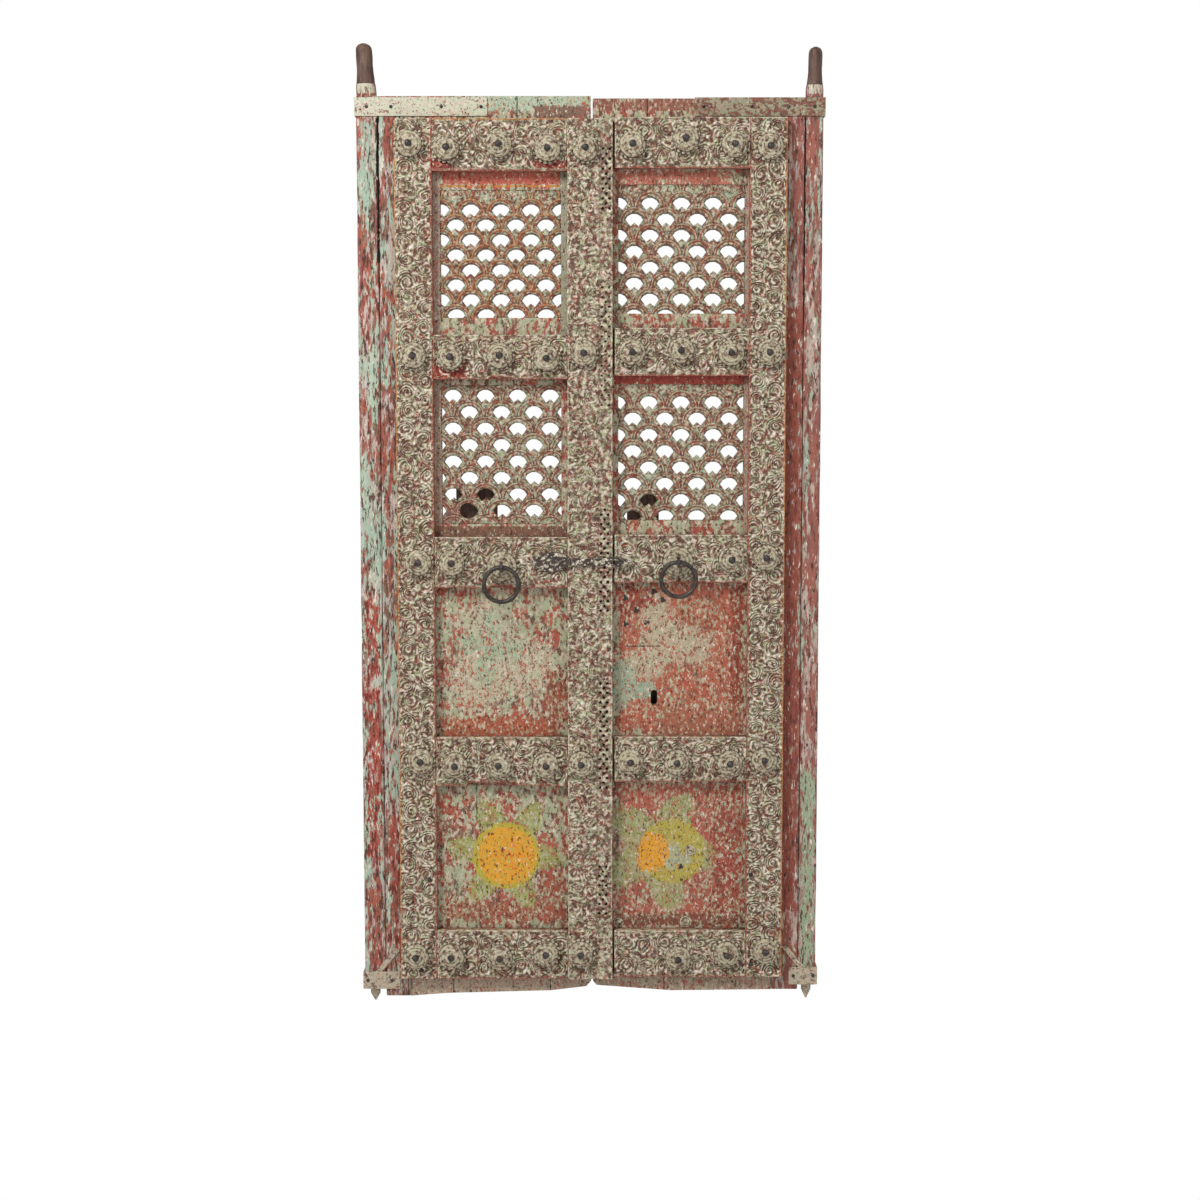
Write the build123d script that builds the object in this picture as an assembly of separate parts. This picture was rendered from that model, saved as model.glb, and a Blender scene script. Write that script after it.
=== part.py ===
"""Old carved double-leaf door: plank leaves on turned pivot posts, with nailed rails, stiles and bosses.

Millimetres. X runs to the right, Y away from the viewer and Z up. The origin lies under the middle of the
door, at the tip of the lower of the two bottom spikes, and half way between its foremost and rearmost points.
"""
import math
import os

from build123d import *

# Layers from front to back, measured from the front face of the planks
plank_t = 28.0
carved_t = 30.0
astragal_t = 36.0
post_depth = 44.0

# Left leaf across, from the middle of the door
left_post_outer = -489.0
left_post_inner = -443.0
left_stile_outer = -408.0
left_stile_inner = -329.0
left_leaf_edge = 2.0
astragal_left = -47.5
astragal_right = 48.0
left_seam_1 = -389.0
left_seam_2 = -221.0
left_seam_3 = -155.0

# Right leaf across
leaf_gap = 4.0
astragal_gap = 4.0
right_stile_inner = 334.0
right_stile_outer = 412.0
right_post_inner = 450.0
right_post_outer = 489.0
right_seam_1 = 160.0
right_seam_2 = 227.0
right_seam_3 = 392.0
right_leaf_edge = left_leaf_edge + leaf_gap
right_rail_end = astragal_right + astragal_gap

# Heights above the tip of the left bottom spike: the straps, planks and posts follow the carved frame's top
planks_foot = 15.0
left_carved_foot = 60.0
left_carved_top = 1885.0
right_carved_foot = 64.0
right_carved_top = left_carved_top + 3.0
strap_gap = 5.0
top_strap_z = right_carved_top + strap_gap
strap_h = 38.0
left_planks_top = top_strap_z + strap_h + 3.0
right_planks_top = top_strap_z + strap_h - 2.0
post_top = top_strap_z + strap_h + 4.0
left_pin_top = post_top + 110.0
right_pin_top = post_top + 103.0

# Worn lower edge of the planks, from the left of each leaf to its right: across, and height above the spike
left_foot_line = [(-448.0, 30.0), (-435.0, 15.0), (-389.0, 15.0), (-311.0, 21.0), (-85.0, 27.0), (-9.0, 36.0),
                  (2.0, 48.0)]
right_foot_line = [(6.0, 48.0), (14.0, 39.0), (175.0, 27.0), (450.0, 30.0)]

# Rails of each leaf from the top down: height of the lower edge, and the rail's own height
left_rails = [(1777.0, 108.0), (1346.0, 93.0), (906.0, 108.0), (481.0, 105.0), (60.0, 106.0)]
right_rails = [(1783.0, 105.0), (1353.0, 100.0), (917.0, 102.0), (490.0, 97.0), (64.0, 102.0)]
cusp_w = 46.0
cusp_rise = 5.0

# Sunk carved field on each stile, rail and on the astragal, and the plain lip round it
carved_sink = 5.0
carved_lip = 2.2

# Plain band along the right edge of the astragal, and its rounded foot
astragal_band = 28.0
astragal_foot_r = 14.0

# Pivots
left_pin_r = 21.0
right_pin_r = 19.0
pin_taper = 3.0
pin_journal = 44.0
pin_chamfer = 6.0
left_post_foot = 30.0
right_post_foot = 39.0
spike_r = 10.5
spike_tip_r = 1.5
spike_collar = 14.0
spike_shank_r = 7.0
spike_shank = 60.0
right_spike_tip = 5.0
bore_clearance = 0.1

# Iron straps round the posts, and the slanting patches above the lower ones
strap_t = 3.0
left_top_strap_end = -214.5
right_top_strap_end = 219.5
left_foot_strap_end = -412.5
right_foot_strap_end = 430.0
left_foot_strap_z = 31.0
right_foot_strap_z = 41.0
strap_back_arm = 40.0
patch_x = 465.0
patch_w = 14.0
patch_run = 38.0
patch_rise = 46.0
strap_nail_r = 5.5
strap_nail_h = 3.5
strap_nail_l = 24.0
strap_shank_w = 4.0
left_top_nails = (-466.0, -415.0, -310.0, -227.0)
left_foot_nails = (-482.0, -430.0)
right_top_nails = (238.0, 338.0, 415.0, 469.0)
right_foot_nails = (483.0, 440.0)

# Pierced panels: pitch of the holes across and up, height of the top row and of the sunk field
jali_sink = 4.0
jali_hole_w = 38.5
jali_hole_h = 27.5
jali_head_h = 13.5
jali_foot_w = 17.0
jali_tooth = 7.0
jali_head_facets = 5
left_jali_w = 254.0
right_jali_w = 266.0
left_jali_x = -187.5
right_jali_x = 193.0
left_upper_jali = dict(pitch_x=63.3, pitch_z=31.3, top_row=1699.5, foot=1475.0, head=1741.0, centred=True)
left_lower_jali = dict(pitch_x=68.6, pitch_z=34.8, top_row=1311.0, foot=1040.0, head=1334.0, centred=False)
right_upper_jali = dict(pitch_x=66.4, pitch_z=33.4, top_row=1713.5, foot=1484.0, head=1752.0, centred=True)
right_lower_jali = dict(pitch_x=68.2, pitch_z=34.5, top_row=1297.0, foot=1048.0, head=1336.0, centred=True)

# Scalloped bosses and the forged nails that hold them
boss_r = 28.5
boss_petals = 8
boss_valley = 0.9
boss_rim = 11.0
boss_rise = 16.0
boss_shoulder_r = 24.0
boss_crown_r = 11.0
ring_boss_r = 33.0
nail_head_r = 10.0
nail_head_h = 7.0
nail_facets = 8
nail_taper = 34.0
shank_w = 6.0
clench_t = 4.0
stud_head_r = 7.0

# Across, and above the middle of the rail, for each boss: one row for each rail from the top down
left_bosses = [
    [(-376.0, 1.0), (-298.0, -7.0), (-189.0, 0.0), (-88.0, -9.0), (-9.0, -9.0)],
    [(-370.0, 3.0), (-293.0, 0.0), (-189.0, 3.0), (-91.0, -3.0), (-13.0, 8.0)],
    [(-362.0, 1.0), (-292.0, 0.0)],
    [(-361.0, 3.0), (-288.0, -6.0), (-195.0, -5.0), (-94.0, -6.0), (-19.0, -2.0)],
    [(-374.0, -1.0), (-298.0, -1.0), (-194.0, -3.0), (-95.0, 5.0), (-20.0, 6.0)],
]
right_bosses = [
    [(89.0, -5.0), (199.0, 7.0), (301.0, -5.0), (375.0, -9.0)],
    [(89.0, -1.0), (191.0, 3.0), (296.0, -2.0), (376.0, -1.0)],
    [(299.0, -1.0), (372.0, 3.0)],
    [(86.0, -3.0), (185.0, -4.0), (298.0, -6.0), (371.0, 1.0)],
    [(189.0, -7.0), (293.0, 2.0), (376.0, 9.0)],
]
left_studs = [(-344.0, 277.0), (-363.0, 79.0)]
right_studs = [(345.0, 288.0), (346.0, 92.0)]

# Ring handles: each ring hangs in an eye bolt through a larger boss on the third rail
ring_r = 36.3
ring_wire_r = 4.1
ring_sides = 32
eye_sides = 16
left_ring_x = -186.0
right_ring_x = 186.0
left_eye_z = 953.0
right_eye_z = 964.0
eye_wire_r = 3.0
eye_play = 1.2
eye_stand = 4.0

# Hasp on the middle rail: hinge plate, pin, barred flap and the staple that the flap drops over
hasp_z = 962.0
hasp_h = 22.0
hasp_t = 4.5
hasp_axis_x = -46.0
hasp_plate_l = 76.0
hasp_plate_h = 41.0
hasp_plate_t = 6.0
hasp_lift = 0.6
hasp_arm = 14.0
hasp_plate_gap = 0.5
hasp_neck_run = 12.0
hasp_neck_h = 15.0
hasp_neck_end = 28.0
hasp_eye_end = 70.0
hasp_tip = 88.0
hasp_tip_lift = 2.0
knuckle_r = 4.5
knuckle_play = 0.3
hinge_pin_r = 1.9
hinge_pin_play = 0.1
hinge_pin_end = 1.0
slot_play = 1.9
slot_swing = 3.4
staple_x = 61.0
staple_half = 4.5
staple_wire_r = 2.4
staple_stand = 10.0
rail_grip = 20.0

# Keyhole through the right leaf and the lock case behind it
keyhole_x = 137.0
keyhole_z = 668.0
keyhole_w = 14.0
keyhole_h = 33.0
lock_w = 96.0
lock_h = 118.0
lock_d = 24.0
lock_wall = 3.0

# Small boards nailed behind the broken corners of the lower pierced panels
left_patch = (-286.0, 1043.0, 88.0, 72.0)
right_patch = (79.0, 1047.0, 68.0, 62.0)
back_patch_t = 12.0
break_x = -260.0
break_z = 1068.0
break_r = 17.0

carved_front = -carved_t
astragal_front = -astragal_t
pivot_y = post_depth / 2
left_pivot_x = left_post_outer + left_pin_r
right_pivot_x = right_post_outer - right_pin_r
eye_r = ring_wire_r + eye_play + eye_wire_r
eye_y = carved_front - boss_rim - boss_rise - eye_stand - eye_r
foremost = eye_y - eye_r - eye_wire_r
rearmost = max(post_depth + strap_t, plank_t + lock_d)
middle_y = (foremost + rearmost) / 2


def block(x0, x1, y0, y1, z0, z1):
    """Straight-sided block between two corners."""
    size = Box(x1 - x0, y1 - y0, z1 - z0)
    return Pos((x0 + x1) / 2, (y0 + y1) / 2, (z0 + z1) / 2) * size


def front_face(outline, y):
    """Face drawn across and up, standing at depth y and looking towards the viewer."""
    return Plane(origin=(0, y, 0), x_dir=(1, 0, 0), z_dir=(0, -1, 0)) * outline


def forward(outline, y, thickness):
    """Solid of an outline drawn across and up, grown towards the viewer from depth y."""
    return extrude(front_face(outline, y), amount=thickness, dir=(0, -1, 0))


def turned(points, x, y):
    """Upright solid turned from a profile of radius and height."""
    profile = make_face(Polyline(*points, close=True))
    return Pos(x, y, 0) * revolve(Plane.XZ * profile, axis=Axis.Z)


def carved_board(x0, x1, front, z0, z1, cusp=False):
    """Thick board with a shallow sunk field behind a plain lip; a cusped one is cut up at its lower edge."""
    board = block(x0, x1, front, 0, z0, z1)
    lip = carved_lip
    board -= block(x0 + lip, x1 - lip, front, front + carved_sink, z0 + lip, z1 - lip)
    if cusp:
        mid = (x0 + x1) / 2
        half = cusp_w / 2
        bow = Line((mid - half, z0), (mid + half, z0)) + ThreePointArc(
            (mid - half, z0), (mid, z0 + cusp_rise), (mid + half, z0))
        board -= forward(make_face(bow), 0, -front)
    return board


def pivot_post(x0, x1, foot, pin_x, pin_r, pin_top):
    """Square post with a tapered round pin left on its upper end and a bore for the spike below."""
    post = block(x0, x1, 0, post_depth, foot, post_top)
    rise = pin_top - post_top
    neck = pin_r - pin_taper
    pin = Pos(pin_x, pivot_y, post_top) * Cone(
        pin_r, neck, rise - pin_journal, align=(Align.CENTER, Align.CENTER, Align.MIN))
    journal = Pos(pin_x, pivot_y, pin_top - pin_journal) * Cylinder(
        neck, pin_journal, align=(Align.CENTER, Align.CENTER, Align.MIN))
    journal = chamfer(journal.edges().sort_by(Axis.Z)[-1], pin_chamfer)
    bore = Pos(pin_x, pivot_y, foot) * Cylinder(
        spike_shank_r + bore_clearance, spike_shank, align=(Align.CENTER, Align.CENTER, Align.MIN))
    return post + pin + journal - bore


def spike(x, tip, foot):
    """Forged spike: a point, a round collar under the post and a shank up inside it."""
    collar = foot - spike_collar
    points = [(0, tip), (spike_tip_r, tip), (spike_r, collar), (spike_r, foot),
              (spike_shank_r, foot), (spike_shank_r, foot + spike_shank), (0, foot + spike_shank)]
    return turned(points, x, pivot_y)


def strap(post_outer, end, z, side):
    """Flat iron strap folded round the outside of a post, with a long front arm and a short back arm."""
    out = post_outer + side * strap_t
    back = post_outer - side * strap_back_arm
    front_arm = block(min(out, end), max(out, end), -strap_t, 0, z, z + strap_h)
    wrap = block(min(out, post_outer), max(out, post_outer), -strap_t, post_depth + strap_t, z, z + strap_h)
    back_arm = block(min(out, back), max(out, back), post_depth, post_depth + strap_t, z, z + strap_h)
    return front_arm + wrap + back_arm


def corner_patch(z, side):
    """Short slanting iron strip from a foot strap up across the joint of post and plank."""
    foot, head = side * patch_x, side * (patch_x - patch_run)
    slant = -side * patch_w
    outline = make_face(Polyline((foot, z), (foot + slant, z), (head + slant, z + patch_rise),
                                 (head, z + patch_rise), close=True))
    return forward(outline, 0, strap_t)


def faced(solid, x, y, z):
    """Place a solid that was drawn lying on its back so that it faces the viewer."""
    return Plane(origin=(x, y, z), x_dir=(1, 0, 0), z_dir=(0, -1, 0)) * solid


def nail(x, z, seat, radius, height, width, reach):
    """Hand-forged nail: hammered head standing on its seat and a square shank as far back as its reach."""
    head = extrude(RegularPolygon(radius, nail_facets), amount=height, taper=nail_taper)
    shank = block(x - width / 2, x + width / 2, seat, reach, z - width / 2, z + width / 2)
    return faced(head, x, seat, z) + shank


def boss(x, z, front, radius):
    """Scalloped wooden boss: notched petals round a thick rim, and a raised crown that takes the nail."""
    step = math.pi / boss_petals
    notches = [(radius * (boss_valley if n % 2 else 1) * math.cos(n * step),
                radius * (boss_valley if n % 2 else 1) * math.sin(n * step)) for n in range(2 * boss_petals)]
    rim = extrude(make_face(Polyline(*notches, close=True)), amount=boss_rim)
    taper = math.degrees(math.atan2(boss_shoulder_r - boss_crown_r, boss_rise))
    crown = extrude(RegularPolygon(boss_shoulder_r, boss_petals), amount=boss_rise, taper=taper)
    return faced(rim + Pos(0, 0, boss_rim) * crown, x, front, z)


def fan_hole(x, z):
    """One fan-scale opening: round head, sides drawn in to two points, and a small tooth between them."""
    half, foot, low = jali_hole_w / 2, jali_foot_w / 2, z - jali_hole_h / 2
    spring = z + jali_hole_h / 2 - jali_head_h
    radius = (half ** 2 + jali_head_h ** 2) / (2 * jali_head_h)
    sweep_angle = 2 * math.asin(half / radius)
    turns = [sweep_angle * (0.5 - n / jali_head_facets) for n in range(jali_head_facets + 1)]
    middle = spring + jali_head_h - radius
    head = [(x + radius * math.sin(a), middle + radius * math.cos(a)) for a in turns]
    return make_face(Polyline(*head, (x - foot, low), (x, low + jali_tooth), (x + foot, low), close=True))


def pierced_board(x0, x1, z0, z1, panels, centre, width):
    """Board with sunk fields, each pierced by staggered rows of fan-scale holes cut off at the field's edges."""
    board = block(x0, x1, 0, plank_t, z0, z1)
    for panel in panels:
        openings = []
        reach = round(width / panel["pitch_x"] / 2)
        for row in range(int((panel["head"] - panel["foot"]) / panel["pitch_z"])):
            centred = panel["centred"] == (row % 2 == 0)
            places = range(-reach, reach + 1) if centred else [n + 0.5 for n in range(-reach, reach)]
            z = panel["top_row"] - row * panel["pitch_z"]
            openings += [forward(fan_hole(centre + n * panel["pitch_x"], z), plank_t, plank_t) for n in places]
        left, right = centre - width / 2, centre + width / 2
        field = block(left, right, 0, plank_t, panel["foot"], panel["head"])
        board -= block(left, right, 0, jali_sink, panel["foot"], panel["head"])
        board -= Compound(openings) & field
    return board


def planks(board, seams, name):
    """Saw a board along its seams into upright planks, numbered from the left."""
    box = board.bounding_box()
    return [(f"{name}_{n}", board & block(x0, x1, box.min.Y, box.max.Y, box.min.Z, box.max.Z))
            for n, (x0, x1) in enumerate(zip(seams, seams[1:]), 1)]


def forged_loop(radius, half_w, sides):
    """Flat closed loop about a centre line of the given radius, square in section and hammered in facets."""
    outer = RegularPolygon(radius + half_w, sides)
    inner = RegularPolygon(radius - half_w, sides)
    return extrude(outer - inner, amount=half_w, both=True)


def eye_bolt(x, z):
    """Flat forged eye standing on its boss, with a square shank driven through rail and plank."""
    half_w = eye_wire_r
    eye = Plane(origin=(x, eye_y, z), x_dir=(0, 1, 0), z_dir=(1, 0, 0)) * forged_loop(eye_r, half_w, eye_sides)
    start = eye_y + eye_r
    shank = block(x - half_w, x + half_w, start, plank_t + clench_t, z - half_w, z + half_w)
    return eye + shank


def ring(x, z):
    """Forged iron ring of square bar with its edges hammered off, hanging from where it crosses the eye."""
    loop = forged_loop(ring_r, ring_wire_r, ring_sides)
    rims = loop.edges().filter_by(Plane.XY)
    return faced(chamfer(rims, ring_wire_r * (2 - math.sqrt(2))), x, eye_y, z - ring_r)


def save(name, solid):
    """Write one piece, moved so that the door's depth is centred on the origin."""
    export_step(Pos(0, -middle_y, 0) * solid, f"parts/{name}.step")


def group(solids):
    """Separate solids kept together in one node."""
    return Compound([s for item in solids for s in item.solids()])


def boss_places(rows, rails):
    """Boss centres: rows of places across, each measured up from the middle of its rail."""
    return [(x, foot + height / 2 + dz) for row, (foot, height) in zip(rows, rails) for x, dz in row]


def front_at(x):
    """Depth of the carved face that a boss at x stands on, with the sunk field taken off."""
    face = astragal_front if astragal_left < x < astragal_right else carved_front
    return face + carved_sink


def worn_foot(line):
    """Everything under the worn lower edge of a leaf's planks."""
    (x0, _), (x1, _) = line[0], line[-1]
    under = make_face(Polyline(*line, (x1 + plank_t, line[-1][1]), (x1 + plank_t, -plank_t),
                               (x0 - plank_t, -plank_t), (x0 - plank_t, line[0][1]), close=True))
    return forward(under, plank_t, plank_t)


left_boss_xz = boss_places(left_bosses, left_rails)
right_boss_xz = boss_places(right_bosses, right_rails)
left_eye = (left_ring_x, left_eye_z)
right_eye = (right_ring_x, right_eye_z)
left_worn = worn_foot(left_foot_line)
right_worn = worn_foot(right_foot_line)
os.makedirs("parts", exist_ok=True)

# Posts, spikes and straps
save("left_pivot_post", pivot_post(left_post_outer, left_post_inner, left_post_foot, left_pivot_x,
                                   left_pin_r, left_pin_top))
save("right_pivot_post", pivot_post(right_post_inner, right_post_outer, right_post_foot, right_pivot_x,
                                    right_pin_r, right_pin_top))
save("left_bottom_spike", spike(left_pivot_x, 0, left_post_foot))
save("right_bottom_spike", spike(right_pivot_x, right_spike_tip, right_post_foot))
save("left_top_strap", strap(left_post_outer, left_top_strap_end, top_strap_z, -1))
save("right_top_strap", strap(right_post_outer, right_top_strap_end, top_strap_z, 1))
save("left_foot_strap", strap(left_post_outer, left_foot_strap_end, left_foot_strap_z, -1))
save("right_foot_strap", strap(right_post_outer, right_foot_strap_end, right_foot_strap_z, 1))
save("left_corner_patch", corner_patch(left_foot_strap_z + strap_h, -1))
save("right_corner_patch", corner_patch(right_foot_strap_z + strap_h, 1))

# Upright planks; the wide ones are pierced in their upper half, and the right leaf has a keyhole
save("left_outer_plank",
     block(left_post_inner, left_seam_1, 0, plank_t, planks_foot, left_planks_top) - left_worn)
save("right_outer_plank",
     block(right_seam_3, right_post_inner, 0, plank_t, planks_foot, right_planks_top) - right_worn)
left_board = pierced_board(left_seam_1, left_leaf_edge, planks_foot, left_planks_top,
                           [left_upper_jali, left_lower_jali], left_jali_x, left_jali_w) - left_worn
left_board -= forward(Pos(break_x, break_z) * Circle(break_r), plank_t, plank_t)
for name, plank in planks(left_board, [left_seam_1, left_seam_2, left_seam_3, left_leaf_edge], "left_plank"):
    save(name, plank)
right_board = pierced_board(right_leaf_edge, right_seam_3, planks_foot, right_planks_top,
                            [right_upper_jali, right_lower_jali], right_jali_x, right_jali_w) - right_worn
key_slot = Pos(keyhole_x, keyhole_z) * SlotOverall(keyhole_h, keyhole_w, rotation=90)
right_board -= forward(key_slot, plank_t, plank_t)
for name, plank in planks(right_board, [right_leaf_edge, right_seam_1, right_seam_2, right_seam_3], "right_plank"):
    save(name, plank)

# Carved stiles, rails and the astragal that covers the meeting of the leaves
save("left_carved_stile", carved_board(left_stile_outer, left_stile_inner, carved_front,
                                       left_carved_foot, left_carved_top))
save("right_carved_stile", carved_board(right_stile_inner, right_stile_outer, carved_front,
                                        right_carved_foot, right_carved_top))
for n, (foot, height) in enumerate(left_rails, 1):
    save(f"left_rail_{n}", carved_board(left_stile_inner, astragal_left, carved_front,
                                        foot, foot + height, cusp=n in (2, 3)))
for n, (foot, height) in enumerate(right_rails, 1):
    save(f"right_rail_{n}", carved_board(right_rail_end, right_stile_inner, carved_front,
                                         foot, foot + height))
astragal = block(astragal_left, astragal_right, astragal_front, 0, left_carved_foot, left_carved_top)
astragal -= block(left_leaf_edge, astragal_right, -1, 0, left_carved_foot, left_carved_top)
astragal -= block(astragal_left, astragal_right - astragal_band, astragal_front,
                  astragal_front + carved_sink, left_carved_foot + carved_lip, left_carved_top - carved_lip)
foot_edge = astragal.edges().filter_by(Axis.Y).group_by(Axis.Z)[0].sort_by(Axis.X)[-1]
save("astragal", fillet(foot_edge, astragal_foot_r))

# Bosses and nails
save("left_bosses", group([boss(x, z, front_at(x), boss_r) for x, z in left_boss_xz]
                          + [boss(*left_eye, front_at(left_ring_x), ring_boss_r)]))
save("right_bosses", group([boss(x, z, front_at(x), boss_r) for x, z in right_boss_xz]
                           + [boss(*right_eye, front_at(right_ring_x), ring_boss_r)]))
crown = boss_rim + boss_rise
clenched = plank_t + clench_t
for side, bosses, studs in (("left", left_boss_xz, left_studs), ("right", right_boss_xz, right_studs)):
    save(f"{side}_nails", group(
        [nail(x, z, front_at(x) - crown, nail_head_r, nail_head_h, shank_w, clenched) for x, z in bosses]
        + [nail(x, z, front_at(x), stud_head_r, nail_head_h, shank_w, clenched) for x, z in studs]))
strap_mid = strap_h / 2
left_strap_nails = [(x, top_strap_z + strap_mid) for x in left_top_nails]
left_strap_nails += [(x, left_foot_strap_z + strap_mid) for x in left_foot_nails]
right_strap_nails = [(x, top_strap_z + strap_mid) for x in right_top_nails]
right_strap_nails += [(x, right_foot_strap_z + strap_mid) for x in right_foot_nails]
for side, places in (("left", left_strap_nails), ("right", right_strap_nails)):
    save(f"{side}_strap_nails", group(
        [nail(x, z, -strap_t, strap_nail_r, strap_nail_h, strap_shank_w, strap_nail_l) for x, z in places]))

# Ring handles
save("left_eye_bolt", eye_bolt(*left_eye))
save("right_eye_bolt", eye_bolt(*right_eye))
save("left_ring", ring(*left_eye))
save("right_ring", ring(*right_eye))

# Lock case and back patches
case = block(keyhole_x - lock_w / 2, keyhole_x + lock_w / 2, plank_t, plank_t + lock_d,
             keyhole_z - lock_h / 2, keyhole_z + lock_h / 2)
case -= block(keyhole_x - lock_w / 2 + lock_wall, keyhole_x + lock_w / 2 - lock_wall, plank_t,
              plank_t + lock_d - lock_wall, keyhole_z - lock_h / 2 + lock_wall, keyhole_z + lock_h / 2 - lock_wall)
save("lock_case", case)
for name, (x, z, w, h) in (("left_back_patch", left_patch), ("right_back_patch", right_patch)):
    save(name, block(x, x + w, plank_t, plank_t + back_patch_t, z, z + h))

# Hasp
hasp_back = astragal_front - hasp_lift
axis_y = hasp_back - knuckle_r
plate_right = astragal_left - hasp_plate_gap
plate_left = plate_right - hasp_plate_l
plate_mid = (plate_left + plate_right) / 2
almond = make_face(
    ThreePointArc((plate_left, hasp_z), (plate_mid, hasp_z + hasp_plate_h / 2), (plate_right, hasp_z + hasp_h / 2))
    + Line((plate_right, hasp_z + hasp_h / 2), (plate_right, hasp_z - hasp_h / 2))
    + ThreePointArc((plate_right, hasp_z - hasp_h / 2), (plate_mid, hasp_z - hasp_plate_h / 2),
                    (plate_left, hasp_z)))
knuckle_h = hasp_h / 3 - knuckle_play
plate = forward(almond, carved_front, hasp_plate_t)
for side in (-1, 1):
    z_mid = hasp_z + side * hasp_h / 3
    barrel = Pos(hasp_axis_x, axis_y, z_mid) * Cylinder(knuckle_r, knuckle_h)
    arm = block(plate_right - hasp_arm, hasp_axis_x, axis_y - hasp_t / 2, axis_y + hasp_t / 2,
                z_mid - knuckle_h / 2, z_mid + knuckle_h / 2)
    web = block(plate_right - hasp_arm, plate_right, axis_y - hasp_t / 2, carved_front - hasp_plate_t,
                z_mid - knuckle_h / 2, z_mid + knuckle_h / 2)
    plate += barrel + arm + web
pin_hole = Pos(hasp_axis_x, axis_y, hasp_z) * Cylinder(hinge_pin_r + hinge_pin_play, 2 * hasp_h)
save("hasp_plate", plate - pin_hole)
save("hasp_pin", Pos(hasp_axis_x, axis_y, hasp_z) * Cylinder(hinge_pin_r, hasp_h + 2 * hinge_pin_end))

half_neck, half_eye = hasp_neck_h / 2, hasp_h / 2
flap = make_face(
    Polyline((hasp_axis_x, hasp_z - knuckle_h / 2), (hasp_axis_x + hasp_neck_run, hasp_z - half_neck),
             (hasp_neck_end, hasp_z - half_neck))
    + ThreePointArc((hasp_neck_end, hasp_z - half_neck), ((hasp_neck_end + hasp_eye_end) / 2, hasp_z - half_eye),
                    (hasp_eye_end, hasp_z - half_neck))
    + Polyline((hasp_eye_end, hasp_z - half_neck), (hasp_tip, hasp_z + hasp_tip_lift), (hasp_eye_end, hasp_z + half_neck))
    + ThreePointArc((hasp_eye_end, hasp_z + half_neck), ((hasp_neck_end + hasp_eye_end) / 2, hasp_z + half_eye),
                    (hasp_neck_end, hasp_z + half_neck))
    + Polyline((hasp_neck_end, hasp_z + half_neck), (hasp_axis_x + hasp_neck_run, hasp_z + half_neck),
               (hasp_axis_x, hasp_z + knuckle_h / 2), (hasp_axis_x, hasp_z - knuckle_h / 2)))
bar = forward(flap, hasp_back, hasp_t)
for low, high in ((hasp_z + knuckle_h / 2, hasp_z + hasp_h), (hasp_z - hasp_h, hasp_z - knuckle_h / 2)):
    bar -= block(hasp_axis_x - knuckle_r, hasp_axis_x + knuckle_r + knuckle_play, foremost, 0, low, high)
bar += Pos(hasp_axis_x, axis_y, hasp_z) * Cylinder(knuckle_r, knuckle_h)
slot_half = staple_half + staple_wire_r + slot_play
slot_h = 2 * (staple_wire_r + slot_play)
bar -= block(staple_x - slot_half - slot_swing, staple_x + slot_half, hasp_back - hasp_t, hasp_back,
             hasp_z - slot_h / 2, hasp_z + slot_h / 2)
save("hasp", bar - pin_hole)

staple_tip = hasp_back - hasp_t - staple_stand
staple_w = staple_half + staple_wire_r
bow = block(staple_x - staple_w, staple_x + staple_w, staple_tip, carved_front + rail_grip,
            hasp_z - staple_wire_r, hasp_z + staple_wire_r)
gap = staple_half - staple_wire_r
bow -= block(staple_x - gap, staple_x + gap, staple_tip + 2 * staple_wire_r, carved_front + rail_grip,
             hasp_z - staple_wire_r, hasp_z + staple_wire_r)
save("hasp_staple", bow)
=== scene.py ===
"""Old carved and painted double-leaf door, dressed over its construction model."""
import math

import bpy
import numpy as np
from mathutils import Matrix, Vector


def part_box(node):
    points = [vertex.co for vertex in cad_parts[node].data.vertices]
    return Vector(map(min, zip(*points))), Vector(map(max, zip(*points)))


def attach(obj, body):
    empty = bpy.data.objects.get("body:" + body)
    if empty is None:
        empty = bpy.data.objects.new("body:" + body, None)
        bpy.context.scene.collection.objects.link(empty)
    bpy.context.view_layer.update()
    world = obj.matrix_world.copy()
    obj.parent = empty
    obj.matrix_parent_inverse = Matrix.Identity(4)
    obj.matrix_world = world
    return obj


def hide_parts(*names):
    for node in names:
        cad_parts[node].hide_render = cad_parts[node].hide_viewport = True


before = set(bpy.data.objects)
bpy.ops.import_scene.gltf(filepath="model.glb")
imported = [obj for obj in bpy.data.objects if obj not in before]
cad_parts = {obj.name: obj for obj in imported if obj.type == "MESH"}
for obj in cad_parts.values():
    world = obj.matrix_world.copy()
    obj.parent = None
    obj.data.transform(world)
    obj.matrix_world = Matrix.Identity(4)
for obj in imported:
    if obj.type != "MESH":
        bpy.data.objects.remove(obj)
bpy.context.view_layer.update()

# Pivot posts
# Each leaf turns on a squared teak post whose upper end is worked down to a round pin. The post is hand-planed
# and painted with the leaf, its edges are soft and its faces not quite flat, and the pin is rubbed bare.
MM = 0.001
POST_SOFT_EDGE = 3.0
POST_WANDER = 0.9
RING_POINTS = 40
PLANK_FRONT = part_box("left_plank_1")[0][1] / MM
ZONE_DEPTH, ZONE_CUT = 12.0, 8.0
SAGE, CREAM, PALE = "98A88A", "C9BFA4", "DED6C4"
RED_OXIDE, BRICK, WINE, TERRACOTTA = "A4483B", "A65A44", "7E3B34", "A9593C"
WOOD_DARK, WOOD_MID, WOOD_GREY, SHADOW = "4A3228", "80604E", "A3958B", "2A1B17"
# The near black is painted shade, laid into holes and the deepest pits.
ORANGE, PIT_SHADE_BLACK = "C27A36", "120B08"
LOBE_START = 0.6
CHIP_SHARE, COAT_SPREAD, COAT_EDGE = 0.45, 0.26, 0.02
ZONE_SPREAD, ZONE_EDGE, ZONE_FADE = 0.5, 0.03, 0.3


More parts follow.
